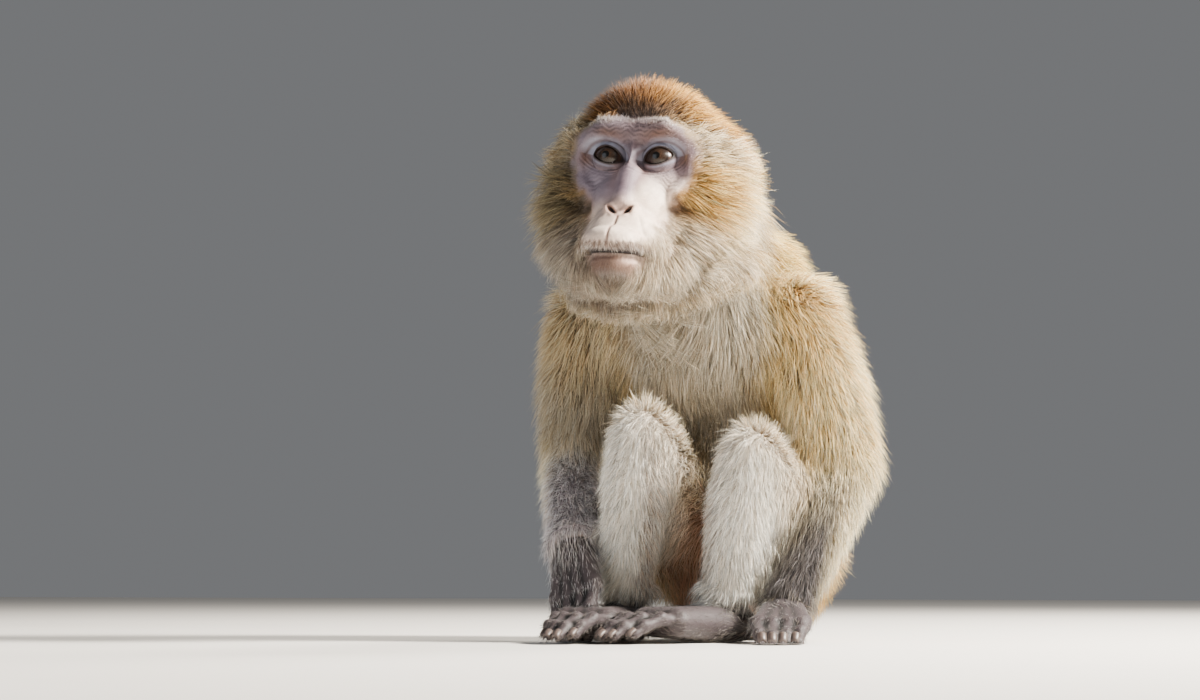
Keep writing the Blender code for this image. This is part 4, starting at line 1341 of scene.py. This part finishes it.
class Finish:
    """A Principled material built by expressions."""

    def __init__(self, name, **constants):
        self.material = bpy.data.materials.new(name)
        self.material.use_nodes = True
        self.tree = self.material.node_tree
        self.shader = self.tree.nodes["Principled BSDF"]
        for key, value in constants.items():
            self.shader.inputs[key.replace("_", " ")].default_value = value

    def node(self, kind, inputs=None, output=0, **settings):
        node = self.tree.nodes.new(kind)
        for key, value in settings.items():
            setattr(node, key, value)
        for key, value in (inputs or {}).items():
            if isinstance(value, Value):
                self.tree.links.new(value.socket, node.inputs[key])
            else:
                node.inputs[key].default_value = value
        return Value(self, node.outputs[output])

    def place(self):
        return self.node("ShaderNodeTexCoord", output="Object")

    def noise(self, scale, detail=3.0, place=None, roughness=0.6):
        inputs = {"Vector": place or self.place(), "Scale": scale, "Detail": detail, "Roughness": roughness}
        return self.node("ShaderNodeTexNoise", inputs)

    def mix(self, share, a, b):
        """From a to b, each a value or a display colour."""
        a, b = (end if isinstance(end, Value) else (*colour(*end), 1.0) for end in (a, b))
        return self.node("ShaderNodeMix", {0: share, 6: a, 7: b}, 2, data_type="RGBA")

    def vector(self, operation, *values, output=0):
        return self.node("ShaderNodeVectorMath", dict(enumerate(values)), output, operation=operation)

    def tinted(self, shade):
        """The painted colour, lighter or darker by a value, as the base colour."""
        tint = self.node("ShaderNodeAttribute", output="Color", attribute_name="tint")
        scaled = self.node("ShaderNodeVectorMath", {0: tint, "Scale": shade}, operation="SCALE")
        self.set("Base Color", scaled)

    def set(self, name, value):
        self.tree.links.new(value.socket, self.shader.inputs[name])


def coat_finish():
    finish = Finish("coat_hair", Specular_IOR_Level=0.22, Sheen_Weight=0.05, Sheen_Roughness=0.4)
    finish.tinted(0.78 + finish.noise(900.0, 2.0) * 0.44)
    finish.set("Roughness", 0.50 + finish.noise(500.0) * 0.2)
    return finish.material


def skin_finish():
    """Fine grain and pores, over the painted colour."""
    finish = Finish("bare_skin", Specular_IOR_Level=0.4, Sheen_Weight=0.05)
    fine = finish.noise(1400.0, 4.0)
    broad = finish.noise(260.0, 3.0)
    finish.tinted(0.80 + fine * 0.24 + broad * 0.16)
    finish.set("Roughness", 0.46 + broad * 0.22)
    inputs = {"Vector": finish.place(), "Scale": 700.0, "Randomness": 1.0}
    cells = finish.node("ShaderNodeTexVoronoi", inputs, feature="DISTANCE_TO_EDGE")
    height = cells.step(0.0, 0.22) * 0.5 + fine * 0.5
    bump = finish.node("ShaderNodeBump", {"Height": height, "Strength": 0.35, "Distance": 0.0004})
    finish.set("Normal", bump)
    return finish.material


def eye_finish(side, centre, gaze):
    """Rings about the line of sight: pupil, iris with fine spokes, dark rim, then the pigmented white."""
    gloss = {"Roughness": 0.25, "Specular_IOR_Level": 0.2, "Coat_Weight": 0.3, "Coat_Roughness": 0.03}
    finish = Finish(f"eye_{side}_wet", **gloss)
    away = finish.vector("SUBTRACT", finish.place(), tuple(centre))
    off_axis = finish.vector("CROSS_PRODUCT", away, tuple(gaze))
    ring = finish.vector("LENGTH", off_axis, output="Value") * 1000.0
    flat = finish.vector("MULTIPLY", away, (1000.0, 1000.0, 1000.0))
    spokes = finish.noise(1.6, 5.0, flat, 0.7)
    inner = finish.mix(spokes.step(0.35, 0.7), (30, 20, 14), (54, 38, 27))
    outer = finish.mix(spokes.step(0.3, 0.7), (24, 17, 13), (42, 31, 24))
    iris = finish.mix(ring.step(2.6, 5.2), inner, outer)
    iris = finish.mix(ring.step(5.4, 6.5), iris, (30, 22, 18))
    white = finish.mix(ring.step(6.6, 8.6), (28, 19, 16), (70, 52, 44))
    tone = finish.mix(ring.step(6.5, 6.9), iris, white)
    finish.set("Base Color", finish.mix((spokes * 0.5 + ring).step(2.35, 2.75), (6, 5, 5), tone))
    return finish.material


def grained_finish(name, gloss, scale, detail, dark, light, rough, vary):
    """A plain material whose colour and roughness vary with a fine grain."""
    finish = Finish(name, Specular_IOR_Level=gloss)
    grain = finish.noise(scale, detail)
    finish.set("Base Color", finish.mix(grain, dark, light))
    finish.set("Roughness", rough + grain * vary)
    return finish.material


def dress(obj, material, slot, *nodes):
    obj.data.materials.clear()
    obj.data.materials.append(material)
    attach(obj, "root")
    if nodes:
        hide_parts(*nodes)


# --- the animal

surface = Surface(skin.data)
marks = Markings(surface)
add_tint(skin.data, np.hstack([marks.skin, np.ones((len(surface.points), 1))]))
coat = Coat(marks, unwrap(skin))
dress(skin, skin_finish(), "face", *FLESH)
hair = coat_finish()

DEEPEST = 46.0  # mm: leaves out what lies far inside, where parts meet
TOP_HEIGHT = 14.0
NAPE_DEPTH = 66.0
x_head, y_head, z_head = marks.local.T
head = marks.on("head")
furred = marks.bare < 0.5
deep = marks.depth < DEEPEST
top = head & furred & ((z_head > TOP_HEIGHT) | (y_head > NAPE_DEPTH))
scalp = (top | marks.on("ear")) & deep
cheeks = head & furred & ~top & deep
trunk = marks.on("neck", "chest", "belly", "pelvis") & deep
front = trunk & (marks.normals[:, 1] < -0.05)
back = trunk & ~front
leftward = surface.points[:, 0] > np.interp(surface.points[:, 2], (0.05, 0.30), (0.0, -0.008))
arm = {side: marks.on("upper_arm", "forearm", side=side) & deep for side in SIDES}
leg = {side: marks.on("thigh", "shank", side=side) & deep for side in SIDES}

# Each piece of the coat: name, where it grows, tufts, bones in a tuft, clumping, shares of width and length.
PIECES = (
    ("coat_crown", scalp, 10000, 2, 0.20, 0.75, 1.0),
    ("coat_cheek_left", cheeks & (x_head > 0), 6500, 3, 0.25, 0.75, 1.0),
    ("coat_cheek_right", cheeks & (x_head <= 0), 6500, 3, 0.25, 0.75, 1.0),
    ("coat_chest", front, 7500, 3, 0.30, 0.75, 1.0),
    ("coat_back_left", back & leftward, 7500, 2, 0.30, 0.80, 1.0),
    ("coat_back_right", back & ~leftward, 6500, 2, 0.30, 0.80, 1.0),
    ("coat_arm_left", arm["left"], 7500, 2, 0.28, 0.75, 1.0),
    ("coat_arm_right", arm["right"], 7500, 2, 0.28, 0.75, 1.0),
    ("coat_leg_left", leg["left"], 6500, 2, 0.25, 0.75, 1.0),
    ("coat_leg_right", leg["right"], 6500, 2, 0.25, 0.75, 1.0),
    ("coat_tail", marks.on("tail"), 4000, 2, 0.3, 1.0, 1.0),
    ("coat_paws", marks.on("hand", "foot"), 13000, 1, 0.15, 1.0, 1.0),
    ("under_crown", scalp, 17000, 1, 0.10, 0.60, 0.80),
    ("under_cheeks", cheeks, 24000, 1, 0.10, 0.60, 0.80),
    ("under_chest", front, 17000, 1, 0.12, 0.62, 0.80),
    ("under_back", back, 21000, 1, 0.12, 0.68, 0.80),
    ("under_arms", arm["left"] | arm["right"], 26000, 1, 0.12, 0.62, 0.80),
    ("under_legs", leg["left"] | leg["right"], 22000, 1, 0.12, 0.62, 0.80),
)
FIRST_SEED = 100
for seed, (name, where, count, bones, clump, slim, reach) in enumerate(PIECES, FIRST_SEED):
    dress(coat.grow(name, where.astype(float), count, bones, seed, clump, slim, reach), hair, "coat")

above_lip = lip_gap(x_head, z_head)
bristles = head * ramp(27.0, 22.0, np.abs(x_head)) * (y_head < 18.0) * (above_lip > 1.6)
bristles = bristles * ramp(7.6, 4.6, above_lip) * ramp(1.4, 3.4, above_lip)
marks.lay = blend(marks.lay, unit(ways(0.055 * x_head, -0.10, -1.0)) @ HEAD_TURN.T, bristles)
marks.length = blend(marks.length, 7.5, bristles)
marks.dye_and_paint_light(bristles, None, (1, (150, 126, 110)), (1, (250, 247, 242)))
dress(coat.grow("coat_lip", bristles, 520, 2, 91, 0.35, slim=0.72, lift=0.7), hair, "coat")

face_hair = bell(z_head - 24.0 + 0.002 * x_head**2, 4.0) * 3.0 + 0.55
face_hair += 3.0 * ramp(6.0, -3.0, marks.bare)
face_hair += 1.6 * ramp(-70.0, -78.0, z_head)
face_hair *= ramp(1.15, 1.8, lid_shape(marks.local)[0])
down = (head & ~furred).astype(float) * (1.0 - bristles)
dress(coat.grow("coat_face", down, 19000, 1, 90, 0.1, lift=0.35, density=face_hair), hair, "coat")

for side in SIDES:
    eyeball, centre, gaze = build_eye(side)
    dress(eyeball, eye_finish(side, centre, gaze), "eyes", f"eye_{side}")
horn = grained_finish("nail_horn", 0.5, 1600.0, 2.0, (52, 42, 40), (98, 84, 78), 0.32, 0.2)
dress(build_nails(paws), horn, "hands_and_feet")

# --- floor, lights and camera

AIM = Vector((-0.0658, -0.0899, 0.1914))
VIEW_FROM = math.radians(25.0)
REACH = 2.0
CAMERA_HEIGHT = 0.04
SENSOR = 36.0
VIEW_WIDTH = 0.792  # at the animal
right = Vector((math.cos(VIEW_FROM), math.sin(VIEW_FROM), 0.0))
toward = Vector((math.sin(VIEW_FROM), -math.cos(VIEW_FROM), 0.0))
up = Vector((0.0, 0.0, 1.0))

bm = bmesh.new()
bmesh.ops.create_grid(bm, x_segments=2, y_segments=2, size=4.0)
floor = from_bmesh("floor", bm)
pale = grained_finish("pale_floor", 0.2, 3.0, 4.0, (214, 210, 204), (222, 218, 213), 0.8, 0.1)
floor.data.materials.append(pale)


def aimed(name, data, place):
    """A light or camera at a place, turned to the animal."""
    obj = link(name, data)
    obj.location = place
    obj.rotation_euler = (AIM - obj.location).to_track_quat("-Z", "Y").to_euler()
    return obj


# Each light: name, how far right, toward the camera and up, size in metres, watts and colour.
LIGHTS = (
    ("key", 1.35, 0.46, 0.92, 0.40, 215.0, (1.0, 0.94, 0.84)),
    ("rim", 0.8, -1.1, 1.2, 0.6, 60.0, (1.0, 0.93, 0.82)),
    ("fill", -1.3, 1.1, 0.4, 1.4, 13.0, (0.86, 0.92, 1.0)),
)
for name, sideways, nearer, higher, size, watts, tone in LIGHTS:
    light = bpy.data.lights.new(name, "AREA")
    light.size = size
    light.energy = watts
    light.color = tone
    aimed(name, light, AIM + right * sideways + toward * nearer + up * higher)
world = bpy.data.worlds.new("studio")
world.use_nodes = True
sky = world.node_tree.nodes["Background"].inputs
sky["Color"].default_value = (0.80, 0.82, 0.85, 1.0)
sky["Strength"].default_value = 0.22
bpy.context.scene.world = world

lens = bpy.data.cameras.new("camera")
lens.sensor_width = SENSOR
lens.lens = SENSOR * REACH / VIEW_WIDTH
stand = AIM + toward * math.sqrt(REACH**2 - (AIM.z - CAMERA_HEIGHT) ** 2)
stand.z = CAMERA_HEIGHT
bpy.context.scene.camera = aimed("camera", lens, stand)
